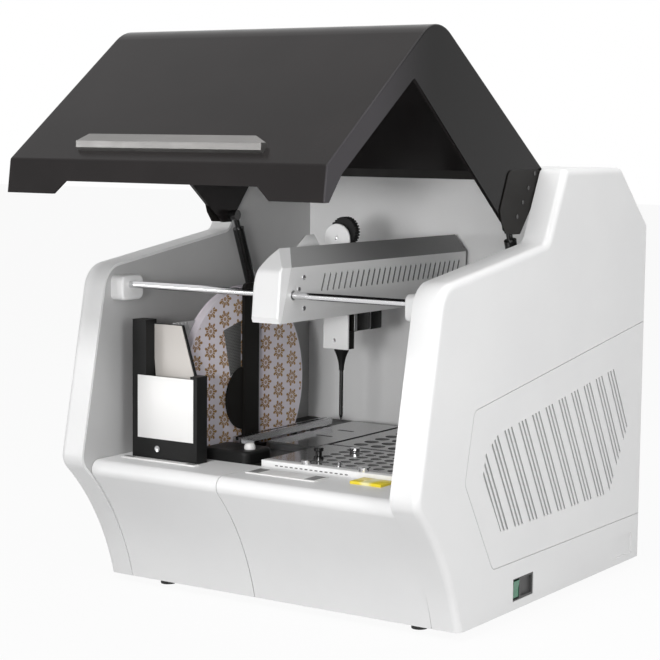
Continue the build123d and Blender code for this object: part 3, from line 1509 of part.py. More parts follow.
pump_right_x = inner_x - pump_inset
pump_middle_x = pump_right_x - pump_size[0] / 2
pump_clamp_y = (pump_front_y - 18, pump_front_y)
with BuildPart() as syringe_pump:
    box_between(
        (pump_right_x - pump_size[0], pump_right_x),
        (pump_front_y, pump_front_y + pump_size[1]),
        (tray_top_z, tray_top_z + pump_size[2]),
    )
    with Locations((pump_middle_x, pump_front_y - 10, tray_top_z + 80)):
        Cylinder(8, 60)
    upper_clamp_x = (pump_middle_x - 15, pump_middle_x + 15)
    lower_clamp_x = (pump_middle_x - 10, pump_middle_x + 10)
    box_between(upper_clamp_x, pump_clamp_y, (tray_top_z + 100, tray_top_z + 116))
    box_between(lower_clamp_x, pump_clamp_y, (tray_top_z + 30, tray_top_z + 50))
syringe_pump.part.label = "syringe_pump"
export_step(syringe_pump.part, "parts/syringe_pump.step")

# Motor of the arm behind the back wall
with BuildPart() as x_motor:
    motor_y = (back_wall_y + sheet, back_wall_y + sheet + x_motor_length)
    motor_x = (x_motor_place[0] - x_motor_half, x_motor_place[0] + x_motor_half)
    motor_z = (x_motor_place[1] - x_motor_half, x_motor_place[1] + x_motor_half)
    box_between(motor_x, motor_y, motor_z)
    chamfer(x_motor.edges().filter_by(Axis.Y), 4)
x_motor.part.label = "x_motor"
export_step(x_motor.part, "parts/x_motor.step")
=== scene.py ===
import bpy
import json
import math
from functools import partial
from mathutils import Matrix, Vector


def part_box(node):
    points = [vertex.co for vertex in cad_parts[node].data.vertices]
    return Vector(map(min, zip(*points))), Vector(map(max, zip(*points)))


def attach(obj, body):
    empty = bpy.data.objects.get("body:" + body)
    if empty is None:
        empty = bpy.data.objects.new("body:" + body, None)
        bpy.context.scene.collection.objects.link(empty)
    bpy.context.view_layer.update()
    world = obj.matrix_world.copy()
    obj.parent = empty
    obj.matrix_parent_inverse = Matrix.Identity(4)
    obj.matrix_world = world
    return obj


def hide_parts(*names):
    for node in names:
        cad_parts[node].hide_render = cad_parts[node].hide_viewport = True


# Looks of the coagulation analyzer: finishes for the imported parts, small fittings,
# lights and the camera. Everything is in metres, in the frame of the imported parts.

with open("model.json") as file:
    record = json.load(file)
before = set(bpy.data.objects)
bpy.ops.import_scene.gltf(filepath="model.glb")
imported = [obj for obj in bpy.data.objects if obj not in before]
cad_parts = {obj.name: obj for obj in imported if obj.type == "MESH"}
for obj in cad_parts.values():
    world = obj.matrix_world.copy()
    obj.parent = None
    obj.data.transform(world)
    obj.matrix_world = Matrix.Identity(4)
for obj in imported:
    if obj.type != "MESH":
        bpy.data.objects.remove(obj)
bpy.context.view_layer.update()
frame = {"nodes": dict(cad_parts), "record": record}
mm = 0.001

# Camera, solved from the photograph
camera_place = Vector((1.4763, -2.2515, 0.6686))
camera_yaw = math.radians(33.4768)
camera_dip = math.radians(6.0347)
camera_roll = math.radians(0.5943)
camera_lens = 101.08
camera_sensor_width = 36.0


# Building shader trees
def start_group(name, inputs, outputs):
    """Empty node group with the named inputs and outputs."""
    group = bpy.data.node_groups.new(name, "ShaderNodeTree")
    for socket_name, kind, value in inputs:
        socket = group.interface.new_socket(socket_name, in_out="INPUT", socket_type=kind)
        socket.default_value = value
    for socket_name, kind in outputs:
        group.interface.new_socket(socket_name, in_out="OUTPUT", socket_type=kind)
    start = group.nodes.new("NodeGroupInput")
    end = group.nodes.new("NodeGroupOutput")
    return group, start, end


def add_node(tree, kind, links=(), **values):
    """Node with its input values and the links into it."""
    node = tree.nodes.new(kind)
    for socket, value in values.items():
        node.inputs[socket.replace("_", " ")].default_value = value
    for socket, source in dict(links).items():
        tree.links.new(source, node.inputs[socket])
    return node


def feed(tree, socket, value):
    """Gives a socket a number, or a link from another node's output."""
    if isinstance(value, (int, float)):
        socket.default_value = value
    else:
        tree.links.new(value, socket)


def math_node(tree, operation, *values):
    """Result of a math node on numbers or outputs."""
    node = tree.nodes.new("ShaderNodeMath")
    node.operation = operation
    for socket, value in zip(node.inputs, values):
        feed(tree, socket, value)
    return node.outputs[0]


def ramp(tree, value, low, high, shape="LINEAR"):
    """Runs from nought to one while a value goes from low to high."""
    node = tree.nodes.new("ShaderNodeMapRange")
    node.interpolation_type = shape
    feed(tree, node.inputs["Value"], value)
    feed(tree, node.inputs["From Min"], low)
    feed(tree, node.inputs["From Max"], high)
    return node.outputs["Result"]


def object_point(tree):
    """Place of the shaded point, in the frame."""
    return tree.nodes.new("ShaderNodeTexCoord").outputs["Object"]


def surface_normal(tree):
    """Way that the shaded face looks."""
    return tree.nodes.new("ShaderNodeNewGeometry").outputs["Normal"]


def split(tree, vector):
    """X, Y and Z outputs of a vector."""
    return add_node(tree, "ShaderNodeSeparateXYZ", {0: vector}).outputs


# Surface effects shared by the finishes
def make_moulded_grain():
    """Fine grain with broad, faint patches, as on moulded or painted skins."""
    group, start, end = start_group(
        "moulded grain",
        [("Grain Scale", "NodeSocketFloat", 900.0), ("Patch Scale", "NodeSocketFloat", 9.0)],
        [("Grain", "NodeSocketFloat"), ("Patch", "NodeSocketFloat")],
    )
    point = object_point(group)
    grain = add_node(
        group,
        "ShaderNodeTexNoise",
        {"Vector": point, "Scale": start.outputs["Grain Scale"]},
        Detail=2.0,
        Roughness=0.6,
    )
    patch = add_node(
        group,
        "ShaderNodeTexNoise",
        {"Vector": point, "Scale": start.outputs["Patch Scale"]},
        Detail=4.0,
        Roughness=0.55,
    )
    group.links.new(grain.outputs["Fac"], end.inputs["Grain"])
    group.links.new(ramp(group, patch.outputs["Fac"], 0.35, 0.65), end.inputs["Patch"])
    return group


def make_handling_marks():
    """Mask of faint wiping marks, long in one direction."""
    group, start, end = start_group(
        "handling marks",
        [("Scale", "NodeSocketFloat", 30.0), ("Spread", "NodeSocketFloat", 0.2)],
        [("Marks", "NodeSocketFloat")],
    )
    stretch = add_node(
        group,
        "ShaderNodeMapping",
        {"Vector": object_point(group)},
        Rotation=(0.4, 0.7, 0.5),
        Scale=(1.0, 0.25, 1.0),
    )
    marks = add_node(
        group,
        "ShaderNodeTexNoise",
        {"Vector": stretch.outputs["Vector"], "Scale": start.outputs["Scale"]},
        Detail=6.0,
        Roughness=0.65,
        Distortion=0.6,
    )
    low = math_node(group, "SUBTRACT", 0.5, start.outputs["Spread"])
    high = math_node(group, "ADD", 0.5, start.outputs["Spread"])
    mask = ramp(group, marks.outputs["Fac"], low, high, "SMOOTHSTEP")
    group.links.new(mask, end.inputs["Marks"])
    return group


def make_brushing():
    """Fine lines along one direction, as on brushed or drawn metal."""
    group, start, end = start_group(
        "brushing",
        [("Stretch", "NodeSocketVector", (1.0, 1.0, 1.0)), ("Scale", "NodeSocketFloat", 600.0)],
        [("Lines", "NodeSocketFloat")],
    )
    stretch = add_node(
        group,
        "ShaderNodeMapping",
        {"Vector": object_point(group), "Scale": start.outputs["Stretch"]},
    )
    lines = add_node(
        group,
        "ShaderNodeTexNoise",
        {"Vector": stretch.outputs["Vector"], "Scale": start.outputs["Scale"]},
        Detail=3.0,
        Roughness=0.7,
    )
    group.links.new(lines.outputs["Fac"], end.inputs["Lines"])
    return group


def make_settled_dust():
    """Mask of thin dust on faces that look up."""
    group, start, end = start_group(
        "settled dust",
        [("Amount", "NodeSocketFloat", 0.2), ("Scale", "NodeSocketFloat", 60.0)],
        [("Dust", "NodeSocketFloat")],
    )
    upward = ramp(group, split(group, surface_normal(group))["Z"], 0.5, 1.0)
    specks = add_node(
        group,
        "ShaderNodeTexNoise",
        {"Vector": object_point(group), "Scale": start.outputs["Scale"]},
        Detail=8.0,
        Roughness=0.75,
    )
    spread = math_node(group, "MULTIPLY", upward, specks.outputs[0])
    amount = math_node(group, "MULTIPLY", spread, start.outputs["Amount"])
    group.links.new(amount, end.inputs["Dust"])
    return group


moulded_grain = make_moulded_grain()
handling_marks = make_handling_marks()
brushing = make_brushing()
settled_dust = make_settled_dust()


# Values that the finishes share
dust_colour = (0.45, 0.44, 0.42)
coat_roughness = 0.08
grain_depth = 0.1 * mm
line_bump, line_depth = 0.08, 0.05 * mm

# Lid skirts: where their mask begins and ends, and where their painted reflection fades into
# painted shade toward the back
skirt_inner_x, skirt_outer_x = 252.5 * mm, 254.5 * mm
skirt_front_y, skirt_rear_y = -330 * mm, -160 * mm

# Top slope of the arm, painted shade: the rise of a face's normal where its mask begins and
# ends, and the fade of that painted shade toward the back
upright_rise, slope_rise = 0.2, 0.35
slope_front_y, slope_rear_y = -170 * mm, 50 * mm

# Yellow plate on the ledge
yellow_low_x, yellow_high_x = 138 * mm, 188 * mm


# Finishes
def place_group(tree, group, **values):
    """A shared effect, placed in a material with its input values."""
    node = tree.nodes.new("ShaderNodeGroup")
    node.node_tree = group
    for socket, value in values.items():
        node.inputs[socket.replace("_", " ")].default_value = value
    return node


def blend_colours(tree, mask, first, second):
    """Colour output between two colours, or colour outputs, by a mask."""
    mix = tree.nodes.new("ShaderNodeMix")
    mix.data_type = "RGBA"
    tree.links.new(mask, mix.inputs["Factor"])
    for socket, colour in ((mix.inputs[6], first), (mix.inputs[7], second)):
        if isinstance(colour, tuple):
            socket.default_value = (*colour, 1.0)
        else:
            tree.links.new(colour, socket)
    return mix.outputs[2]


def between(tree, mask, low, high):
    """Value that runs from low to high with a mask."""
    node = add_node(tree, "ShaderNodeMapRange", {"Value": mask}, To_Min=low, To_Max=high)
    return node.outputs["Result"]


def add_bump(tree, height, strength, distance):
    """Normal that follows a height, at a strength and a full depth in metres."""
    node = add_node(
        tree, "ShaderNodeBump", {"Height": height}, Strength=strength, Distance=distance
    )
    return node.outputs["Normal"]


def new_finish(name):
    """New material, its shader tree and its main shader."""
    material = bpy.data.materials.new(name)
    material.use_nodes = True
    tree = material.node_tree
    return material, tree, tree.nodes["Principled BSDF"]


def grey(level):
    """Neutral colour at a level."""
    return (level, level, level)


def moulded_finish(
    name,
    colour,
    shade,
    roughness,
    grain_scale=1400.0,
    bump=0.15,
    metallic=0.0,
    coat=0.0,
    dust=0.0,
    specular=0.5,
):
    """Moulded or painted skin: two near colours in patches, grain, marks and dust."""
    material, tree, shader = new_finish(name)
    grain = place_group(tree, moulded_grain, Grain_Scale=grain_scale, Patch_Scale=7.0)
    marks = place_group(tree, handling_marks, Scale=24.0, Spread=0.22)
    tone = blend_colours(tree, grain.outputs["Patch"], colour, shade)
    if dust > 0:
        settled = place_group(tree, settled_dust, Amount=dust, Scale=180.0)
        tone = blend_colours(tree, settled.outputs["Dust"], tone, dust_colour)
    tree.links.new(tone, shader.inputs["Base Color"])
    rough = between(tree, marks.outputs["Marks"], roughness[0], roughness[1])
    tree.links.new(rough, shader.inputs["Roughness"])
    normal = add_bump(tree, grain.outputs["Grain"], bump, grain_depth)
    tree.links.new(normal, shader.inputs["Normal"])
    shader.inputs["Metallic"].default_value = metallic
    shader.inputs["Coat Weight"].default_value = coat
    shader.inputs["Coat Roughness"].default_value = coat_roughness
    shader.inputs["Specular IOR Level"].default_value = specular
    return material


def metal_finish(name, colour, shade, roughness, stretch, scale):
    """Bright or satin metal with drawing lines along one direction."""
    material, tree, shader = new_finish(name)
    lines = place_group(tree, brushing, Stretch=stretch, Scale=scale)
    marks = place_group(tree, handling_marks, Scale=40.0, Spread=0.25)
    tone = blend_colours(tree, lines.outputs["Lines"], colour, shade)
    tree.links.new(tone, shader.inputs["Base Color"])
    rough = between(tree, marks.outputs["Marks"], roughness[0], roughness[1])
    tree.links.new(rough, shader.inputs["Roughness"])
    normal = add_bump(tree, lines.outputs["Lines"], line_bump, line_depth)
    tree.links.new(normal, shader.inputs["Normal"])
    shader.inputs["Metallic"].default_value = 1.0
    return material


def paint_light_rearward(material, make_mask, front_y, rear_y, front_tone, rear_tone):
    """Inside a mask, painted light and shade: the tone of a finish fades from one colour to
    another, front to back.
    """
    tree = material.node_tree
    base = tree.nodes["Principled BSDF"].inputs["Base Color"]
    skin = base.links[0].from_socket
    mask = make_mask(tree)
    rearward = ramp(tree, split(tree, object_point(tree))["Y"], front_y, rear_y, "SMOOTHSTEP")
    painted_light_tone = blend_colours(tree, rearward, front_tone, rear_tone)
    tree.links.new(blend_colours(tree, mask, skin, painted_light_tone), base)


def on_lid_skirts(tree):
    """One on the outer faces of the lid's side skirts, nought between them."""
    aside = math_node(tree, "ABSOLUTE", split(tree, object_point(tree))["X"])
    return ramp(tree, aside, skirt_inner_x, skirt_outer_x)


def on_upper_slopes(tree):
    """One on faces that look up, also at a slant, nought on upright ones."""
    return ramp(tree, split(tree, surface_normal(tree))["Z"], upright_rise, slope_rise)


white_skin = moulded_finish(
    "white moulded skin", grey(0.75), (0.73, 0.73, 0.732), (0.34, 0.42), dust=0.02
)
inner_paint = moulded_finish(
    "pale inner paint", grey(0.47), grey(0.44), (0.38, 0.5), grain_scale=900.0
)
back_paint = moulded_finish(
    "pale back wall paint", grey(0.86), grey(0.83), (0.3, 0.42), grain_scale=900.0
)
black_paint = moulded_finish(
    "black satin paint",
    (0.012, 0.011, 0.010),
    (0.015, 0.014, 0.013),
    (0.3, 0.42),
    dust=0.015,
    grain_scale=1100.0,
    specular=0.09,
)
black_mould = moulded_finish(
    "black moulding",
    grey(0.009),
    grey(0.013),
    (0.35, 0.5),
    dust=0.02,
    grain_scale=1300.0,
    bump=0.2,
    specular=0.14,
)
foot_rubber = moulded_finish("foot rubber", grey(0.018), grey(0.028), (0.7, 0.85), bump=0.4)
tinted_skin = moulded_finish(
    "smoked lid skin",
    (0.013, 0.0115, 0.0115),
    (0.016, 0.014, 0.014),
    (0.20, 0.26),
    grain_scale=500.0,
    bump=0.0,
    specular=0.13,
)
# Painted reflection on the outer faces of the lid's side skirts: light and bluish at the front,
# fading toward the back into painted shade darker than the skin
paint_light_rearward(
    tinted_skin,
    on_lid_skirts,
    skirt_front_y,
    skirt_rear_y,
    (0.040, 0.037, 0.041),
    (0.004, 0.0035, 0.0035),
)
grip_metal = metal_finish(
    "satin grip", (0.27, 0.265, 0.26), (0.22, 0.215, 0.21), (0.34, 0.44), (0.02, 1.0, 1.0), 900.0
)
bright_steel = metal_finish(
    "bright steel", (0.72, 0.72, 0.73), (0.62, 0.62, 0.63), (0.10, 0.2), (0.03, 1.0, 1.0), 1200.0
)
sheet_metal = metal_finish(
    "galvanised sheet", (0.5, 0.51, 0.52), (0.42, 0.43, 0.44), (0.35, 0.5), (1.0, 1.0, 1.0), 60.0
)
cast_metal = metal_finish(
    "satin aluminium",
    (0.5, 0.505, 0.51),
    (0.43, 0.435, 0.44),
    (0.3, 0.42),
    (1.0, 0.05, 1.0),
    900.0,
)
arm_sheet = moulded_finish(
    "satin arm sheet",
    grey(0.78),
    grey(0.73),
    (0.32, 0.38),
    grain_scale=1100.0,
    bump=0.05,
    metallic=0.25,
)
# Painted shade on the arm's top slope: darker than its upright faces, and darker still toward
# the back, under the lid
paint_light_rearward(
    arm_sheet, on_upper_slopes, slope_front_y, slope_rear_y, grey(0.42), grey(0.17)
)
strut_enamel = moulded_finish(
    "strut enamel", grey(0.008), grey(0.012), (0.12, 0.2), bump=0.03, coat=0.3
)
smoked_plate = moulded_finish(
    "smoked plate", grey(0.15), grey(0.13), (0.08, 0.16), bump=0.02, coat=0.5, dust=0.04
)
mirror_plate = moulded_finish(
    "glossy measuring plate",
    grey(0.20),
    grey(0.18),
    (0.05, 0.1),
    bump=0.01,
    metallic=0.6,
    coat=0.4,
    dust=0.03,
)
grey_mould = moulded_finish("grey moulding", grey(0.075), grey(0.065), (0.4, 0.5), specular=0.3)
green_gloss = moulded_finish(
    "green rocker", (0.0, 0.16, 0.07), (0.0, 0.14, 0.06), (0.12, 0.2), bump=0.03, coat=0.4
)
board_mask = moulded_finish(
    "board coating", (0.01, 0.10, 0.035), (0.012, 0.08, 0.03), (0.25, 0.4), grain_scale=300.0
)
knob_gloss = moulded_finish(
    "glossy black knob", grey(0.006), grey(0.010), (0.1, 0.18), bump=0.02, coat=0.3
)
motor_grey = metal_finish(
    "ribbed motor body", grey(0.10), grey(0.03), (0.35, 0.45), (0.02, 1.0, 0.02), 260.0
)
label_film = moulded_finish(
    "blank label film", (0.74, 0.735, 0.725), (0.72, 0.715, 0.71), (0.3, 0.4), bump=0.04
)
label_grey = moulded_finish(
    "grey label film", grey(0.20), grey(0.17), (0.35, 0.45), bump=0.04
)
cream_film = moulded_finish(
    "cream chute film", (0.60, 0.57, 0.54), (0.56, 0.53, 0.50), (0.35, 0.5), bump=0.05
)


def make_lined_label():
    """Dark label film with thin pale lines in broken rows."""
    material, tree, shader = new_finish("dark lined label")
    point = split(tree, object_point(tree))
    flat = add_node(tree, "ShaderNodeCombineXYZ", {0: point["Y"], 1: point["Z"]})
    rows = add_node(
        tree,
        "ShaderNodeTexBrick",
        {"Vector": flat.outputs[0]},
        Scale=110.0,
        Mortar_Size=0.035,
        Color1=(0.045, 0.045, 0.045, 1.0),
        Color2=(0.085, 0.085, 0.085, 1.0),
        Mortar=(0.26, 0.26, 0.25, 1.0),
    )
    marks = place_group(tree, handling_marks, Scale=60.0, Spread=0.2)
    tree.links.new(rows.outputs["Color"], shader.inputs["Base Color"])
    tree.links.new(between(tree, marks.outputs["Marks"], 0.35, 0.5), shader.inputs["Roughness"])
    return material


def make_reel_print():
    """Pale lilac film with offset rows of small rosettes, and a plain rim."""
    material, tree, shader = new_finish("printed reel film")
    calc = partial(math_node, tree)
    low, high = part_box("cuvette_reel")
    reel_centre = (low + high) / 2
    plain_rim = 3 * mm
    column_pitch = 35 * mm
    row_pitch = 0.86 * column_pitch
    # Sizes inside one cell of the print, as shares of its pitch
    rosette_radius, lobe_depth, lobe_count, soft_edge = 0.37, 0.07, 7, 0.01
    ring_radius, ring_core, ring_edge = 0.13, 0.02, 0.035
    # Number of spokes, and the cosine values between which a spoke's edge lies
    spoke_count, spoke_core, spoke_edge = 14, -0.90, -0.60

    place = add_node(
        tree, "ShaderNodeMapping", {"Vector": object_point(tree)}, Location=tuple(-reel_centre)
    )
    point = split(tree, place.outputs[0])
    across = calc("DIVIDE", point["Y"], column_pitch)
    column = calc("FLOOR", across)
    shift = calc("MULTIPLY", calc("MODULO", calc("ABSOLUTE", column), 2.0), 0.5)
    upward = calc("ADD", calc("DIVIDE", point["Z"], row_pitch), shift)
    cell_y = calc("SUBTRACT", calc("FRACT", calc("ADD", across, 100.0)), 0.5)
    cell_z = calc("SUBTRACT", calc("FRACT", calc("ADD", upward, 100.0)), 0.5)

    def distance(first, second):
        squares = calc("MULTIPLY", first, first), calc("MULTIPLY", second, second)
        return calc("SQRT", calc("ADD", *squares))

    radius = distance(cell_y, cell_z)
    turn = calc("ARCTAN2", cell_z, cell_y)
    lobes = calc("MULTIPLY", calc("COSINE", calc("MULTIPLY", turn, lobe_count)), lobe_depth)
    reach = calc("SUBTRACT", calc("ADD", lobes, rosette_radius), radius)
    inside = ramp(tree, reach, -soft_edge, soft_edge)
    from_ring = calc("ABSOLUTE", calc("SUBTRACT", radius, ring_radius))
    off_ring = ramp(tree, from_ring, ring_core, ring_edge)
    spokes = calc("COSINE", calc("MULTIPLY", turn, spoke_count))
    off_spokes = ramp(tree, spokes, spoke_core, spoke_edge)
    print_radius = (high.z - low.z) / 2 - plain_rim
    on_face = calc("LESS_THAN", distance(point["Y"], point["Z"]), print_radius)
    lines = calc("MULTIPLY", off_ring, off_spokes)
    motif = calc("MULTIPLY", calc("MULTIPLY", lines, inside), on_face)

    grain = place_group(tree, moulded_grain, Grain_Scale=700.0, Patch_Scale=12.0)
    patch = grain.outputs["Patch"]
    paper = blend_colours(tree, patch, (0.86, 0.80, 0.86), (0.90, 0.85, 0.91))
    ink = blend_colours(tree, patch, (0.33, 0.16, 0.03), (0.42, 0.23, 0.06))
    tree.links.new(blend_colours(tree, motif, paper, ink), shader.inputs["Base Color"])
    tree.links.new(between(tree, patch, 0.4, 0.5), shader.inputs["Roughness"])
    bump = add_bump(tree, grain.outputs["Grain"], 0.05, grain_depth)
    tree.links.new(bump, shader.inputs["Normal"])
    return material


def make_needle_finish():
    """Black sleeve down to a bare steel tip."""
    material, tree, shader = new_finish("sleeved needle")
    tip_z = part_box("probe_needle")[0].z
    bare_length, sleeve_edge = 2.5 * mm, 0.5 * mm
    height = split(tree, object_point(tree))["Z"]
    sleeve_z = tip_z + bare_length
    sleeve = ramp(tree, height, sleeve_z, sleeve_z + sleeve_edge)
    marks = place_group(tree, handling_marks, Scale=120.0, Spread=0.25)
    steel = blend_colours(tree, marks.outputs["Marks"], (0.6, 0.6, 0.61), (0.5, 0.5, 0.51))
    tone = blend_colours(tree, sleeve, steel, grey(0.008))
    tree.links.new(tone, shader.inputs["Base Color"])
    tree.links.new(between(tree, sleeve, 1.0, 0.0), shader.inputs["Metallic"])
    tree.links.new(between(tree, marks.outputs["Marks"], 0.18, 0.3), shader.inputs["Roughness"])
    return material


def make_slotted_strip():
    """White strip with a row of short dark dashes along its front, painted shade that stands in
    for the insides of its slots.
    """
    material, tree, shader = new_finish("slotted strip")
    calc = partial(math_node, tree)
    first_x, last_x, slot_z, pitch = -12 * mm, 114 * mm, 202 * mm, 8.4 * mm
    slot_share, slot_half_height = 0.58, 0.8 * mm
    point = split(tree, object_point(tree))
    along = calc("DIVIDE", calc("SUBTRACT", point["X"], first_x), pitch)
    dash = calc("LESS_THAN", calc("FRACT", along), slot_share)
    off_middle = calc("ABSOLUTE", calc("SUBTRACT", point["Z"], slot_z))
    band = calc("LESS_THAN", off_middle, slot_half_height)
    after_first = calc("GREATER_THAN", point["X"], first_x)
    before_last = calc("LESS_THAN", point["X"], last_x)
    run = calc("MULTIPLY", after_first, before_last)
    slots = calc("MULTIPLY", calc("MULTIPLY", dash, band), run)
    grain = place_group(tree, moulded_grain, Grain_Scale=1400.0, Patch_Scale=7.0)
    patch = grain.outputs["Patch"]
    white = blend_colours(tree, patch, grey(0.77), grey(0.75))
    # The slots are not cut: they are dashes of painted shade on the white
    tree.links.new(blend_colours(tree, slots, white, grey(0.08)), shader.inputs["Base Color"])
    tree.links.new(between(tree, patch, 0.34, 0.42), shader.inputs["Roughness"])
    bump = add_bump(tree, grain.outputs["Grain"], 0.12, grain_depth)
    tree.links.new(bump, shader.inputs["Normal"])
    return material


def make_yellow_film():
    """Yellow film that is paler in its middle."""
    material, tree, shader = new_finish("yellow plate film")
    calc = partial(math_node, tree)
    middle_x = (yellow_low_x + yellow_high_x) / 2
    pale_reach, yellow_reach = 2 * mm, 12 * mm
    from_middle = calc("SUBTRACT", split(tree, object_point(tree))["X"], middle_x)
    fade = ramp(tree, calc("ABSOLUTE", from_middle), pale_reach, yellow_reach, "SMOOTHSTEP")
    marks = place_group(tree, handling_marks, Scale=60.0, Spread=0.2)
    tone = blend_colours(tree, fade, (0.82, 0.77, 0.40), (0.78, 0.62, 0.02))
    tree.links.new(tone, shader.inputs["Base Color"])
    tree.links.new(between(tree, marks.outputs["Marks"], 0.3, 0.42), shader.inputs["Roughness"])
    return material


lined_film = make_lined_label()
reel_print = make_reel_print()
slotted_white = make_slotted_strip()
yellow_film = make_yellow_film()

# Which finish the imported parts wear: by their slot, and by name where one part differs
finish_of_slot = {
    "white_plastic": white_skin,
    "grey_sheet": inner_paint,
    "galvanised_sheet": sheet_metal,
    "black_sheet": black_paint,
    "black_plastic": black_mould,
    "rubber": foot_rubber,
    "tinted_lid": tinted_skin,
    "silver": grip_metal,
    "steel": bright_steel,
    "strut_paint": strut_enamel,
    "aluminium_block": cast_metal,
    "smoked_plate": smoked_plate,
    "printed_reel": reel_print,
    "grey_plastic": grey_mould,
    "green_plastic": green_gloss,
    "circuit_board": board_mask,
}
finish_of_node = {
    "inner_back_wall": back_paint,
    "arm_cover": arm_sheet,
    "arm_beam": black_paint,
    "probe_needle": make_needle_finish(),
    "rear_panel": white_skin,
    "measuring_plate": mirror_plate,
    "rack_front_strip": slotted_white,
    "lid_screws": knob_gloss,
}


def dress_node(node, material):
    """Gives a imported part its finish."""
    slots = frame["nodes"][node].data.materials
    slots.clear()
    slots.append(material)


for part in frame["record"]["subparts"]:
    slot_finish = finish_of_slot[part["material_slot"]]
    dress_node(part["node"], finish_of_node.get(part["node"], slot_finish))


# Making and placing pieces
bevel_angle = math.radians(30)


def deselect_all():
    """Clears the selection before a new piece is added."""
    bpy.ops.object.select_all(action="DESELECT")


def select_only(piece):
    """Makes a piece the one that the next operators act on."""
    deselect_all()
    piece.select_set(True)
    bpy.context.view_layer.objects.active = piece


def edit_mesh(select_mode=None, action="SELECT"):
    """Goes into edit mode, with all selected or nothing."""
    bpy.ops.object.mode_set(mode="EDIT")
    if select_mode:
        bpy.ops.mesh.select_mode(type=select_mode)
    bpy.ops.mesh.select_all(action=action)


def leave_edit():
    """Goes back to object mode, which writes the edits to the mesh."""
    bpy.ops.object.mode_set(mode="OBJECT")


def close_shell():
    """Turns all faces of the open mesh outward and leaves edit mode."""
    bpy.ops.mesh.select_all(action="SELECT")
    bpy.ops.mesh.normals_make_consistent(inside=False)
    leave_edit()


def settle(piece):
    """Puts a piece's place, turn and size into its mesh."""
    select_only(piece)
    bpy.ops.object.transform_apply(location=True, rotation=True, scale=True)


def bevel_edges(piece, width, segments=2):
    """Rounds the sharp edges of a piece with an applied bevel."""
    modifier = piece.modifiers.new("edge", "BEVEL")
    modifier.width = width
    modifier.segments = segments
    modifier.limit_method = "ANGLE"
    modifier.angle_limit = bevel_angle
    select_only(piece)
    bpy.ops.object.modifier_apply(modifier=modifier.name)


def hand_over(piece, name, body, material, angle=35):
    """Names a finished piece, shades it and puts it on its body."""
    settle(piece)
    bpy.ops.object.shade_smooth_by_angle(angle=math.radians(angle))
    piece.name = name
    piece.data.materials.clear()
    piece.data.materials.append(material)
    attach(piece, body)
    return piece


def aim(direction, front="Z"):
    """Turn that points a piece's front axis in a direction."""
    return Vector(direction).to_track_quat(front, "Y").to_euler()


def rounded_block(name, low, high, edge, body, material, segments=2):
    """Block between two corners with rounded edges."""
    deselect_all()
    centre = (Vector(low) + Vector(high)) / 2
    bpy.ops.mesh.primitive_cube_add(size=1, location=centre)
    piece = bpy.context.object
    piece.scale = Vector(high) - Vector(low)
    settle(piece)
    bevel_edges(piece, edge, segments)
    return hand_over(piece, name, body, material)


def screw_head(name, base, direction, radius, height, dish, body):
    """Bright round screw head on a face, with a rounded rim and a dished top."""
    rim_share, round_share = 0.35, 0.2
    deselect_all()
    middle = Vector(base) + Vector(direction) * height / 2
    bpy.ops.mesh.primitive_cylinder_add(
        vertices=32, radius=radius, depth=height, location=middle, rotation=aim(direction)
    )
    piece = bpy.context.object
    edit_mesh(action="DESELECT")
    leave_edit()
    top = max(piece.data.polygons, key=lambda face: face.center.z)
    top.select = True
    bpy.ops.object.mode_set(mode="EDIT")
    bpy.ops.mesh.inset(thickness=radius * rim_share)
    bpy.ops.transform.translate(value=Vector(direction) * -dish)
    leave_edit()
    settle(piece)
    bevel_edges(piece, min(radius, height) * round_share)
    return hand_over(piece, name, body, bright_steel)


def turned_piece(name, base, rings, body, material, angle=40):
    """Upright turned piece on a base point, from the height and radius of its rings in mm."""
    rings = [(height * mm, radius * mm) for height, radius in rings]
    deselect_all()
    bpy.ops.mesh.primitive_circle_add(vertices=32, radius=rings[0][1], fill_type="NGON")
    piece = bpy.context.object
    edit_mesh("FACE")
    for (low, wide), (high, narrow) in zip(rings, rings[1:]):
        bpy.ops.mesh.extrude_region_move(TRANSFORM_OT_translate={"value": (0, 0, high - low)})
        share = narrow / wide
        bpy.ops.transform.resize(value=(share, share, 1), center_override=(0, 0, high))
    close_shell()
    piece.location = Vector(base)
    return hand_over(piece, name, body, material, angle)


def plate_on_corners(name, corners, thickness, edge, body, material):
    """Flat plate on an outline of corners, given its thickness by an extrude."""
    deselect_all()
    centre = sum(corners, Vector()) / len(corners)
    bpy.ops.mesh.primitive_circle_add(
        vertices=len(corners), radius=10 * mm, fill_type="NGON", location=centre
    )
    piece = bpy.context.object
    settle(piece)
    for index, corner in enumerate(corners):
        edit_mesh("VERT", "DESELECT")
        leave_edit()
        piece.data.vertices[index].select = True
        way = corner - piece.data.vertices[index].co
        bpy.ops.object.mode_set(mode="EDIT")
        bpy.ops.transform.translate(value=way)
        leave_edit()
    edit_mesh("FACE")
    bpy.ops.mesh.extrude_region_move(TRANSFORM_OT_translate={"value": Vector(thickness)})
    close_shell()
    bevel_edges(piece, edge)
    return hand_over(piece, name, body, material)


def side_plate(name, face_x, corners, thickness, edge, body, material):
    """Upright plate that faces right, on an outline of Y and Z corners in mm."""
    corners = [Vector((face_x, y * mm, z * mm)) for y, z in corners]
    return plate_on_corners(name, corners, (thickness, 0, 0), edge, body, material)


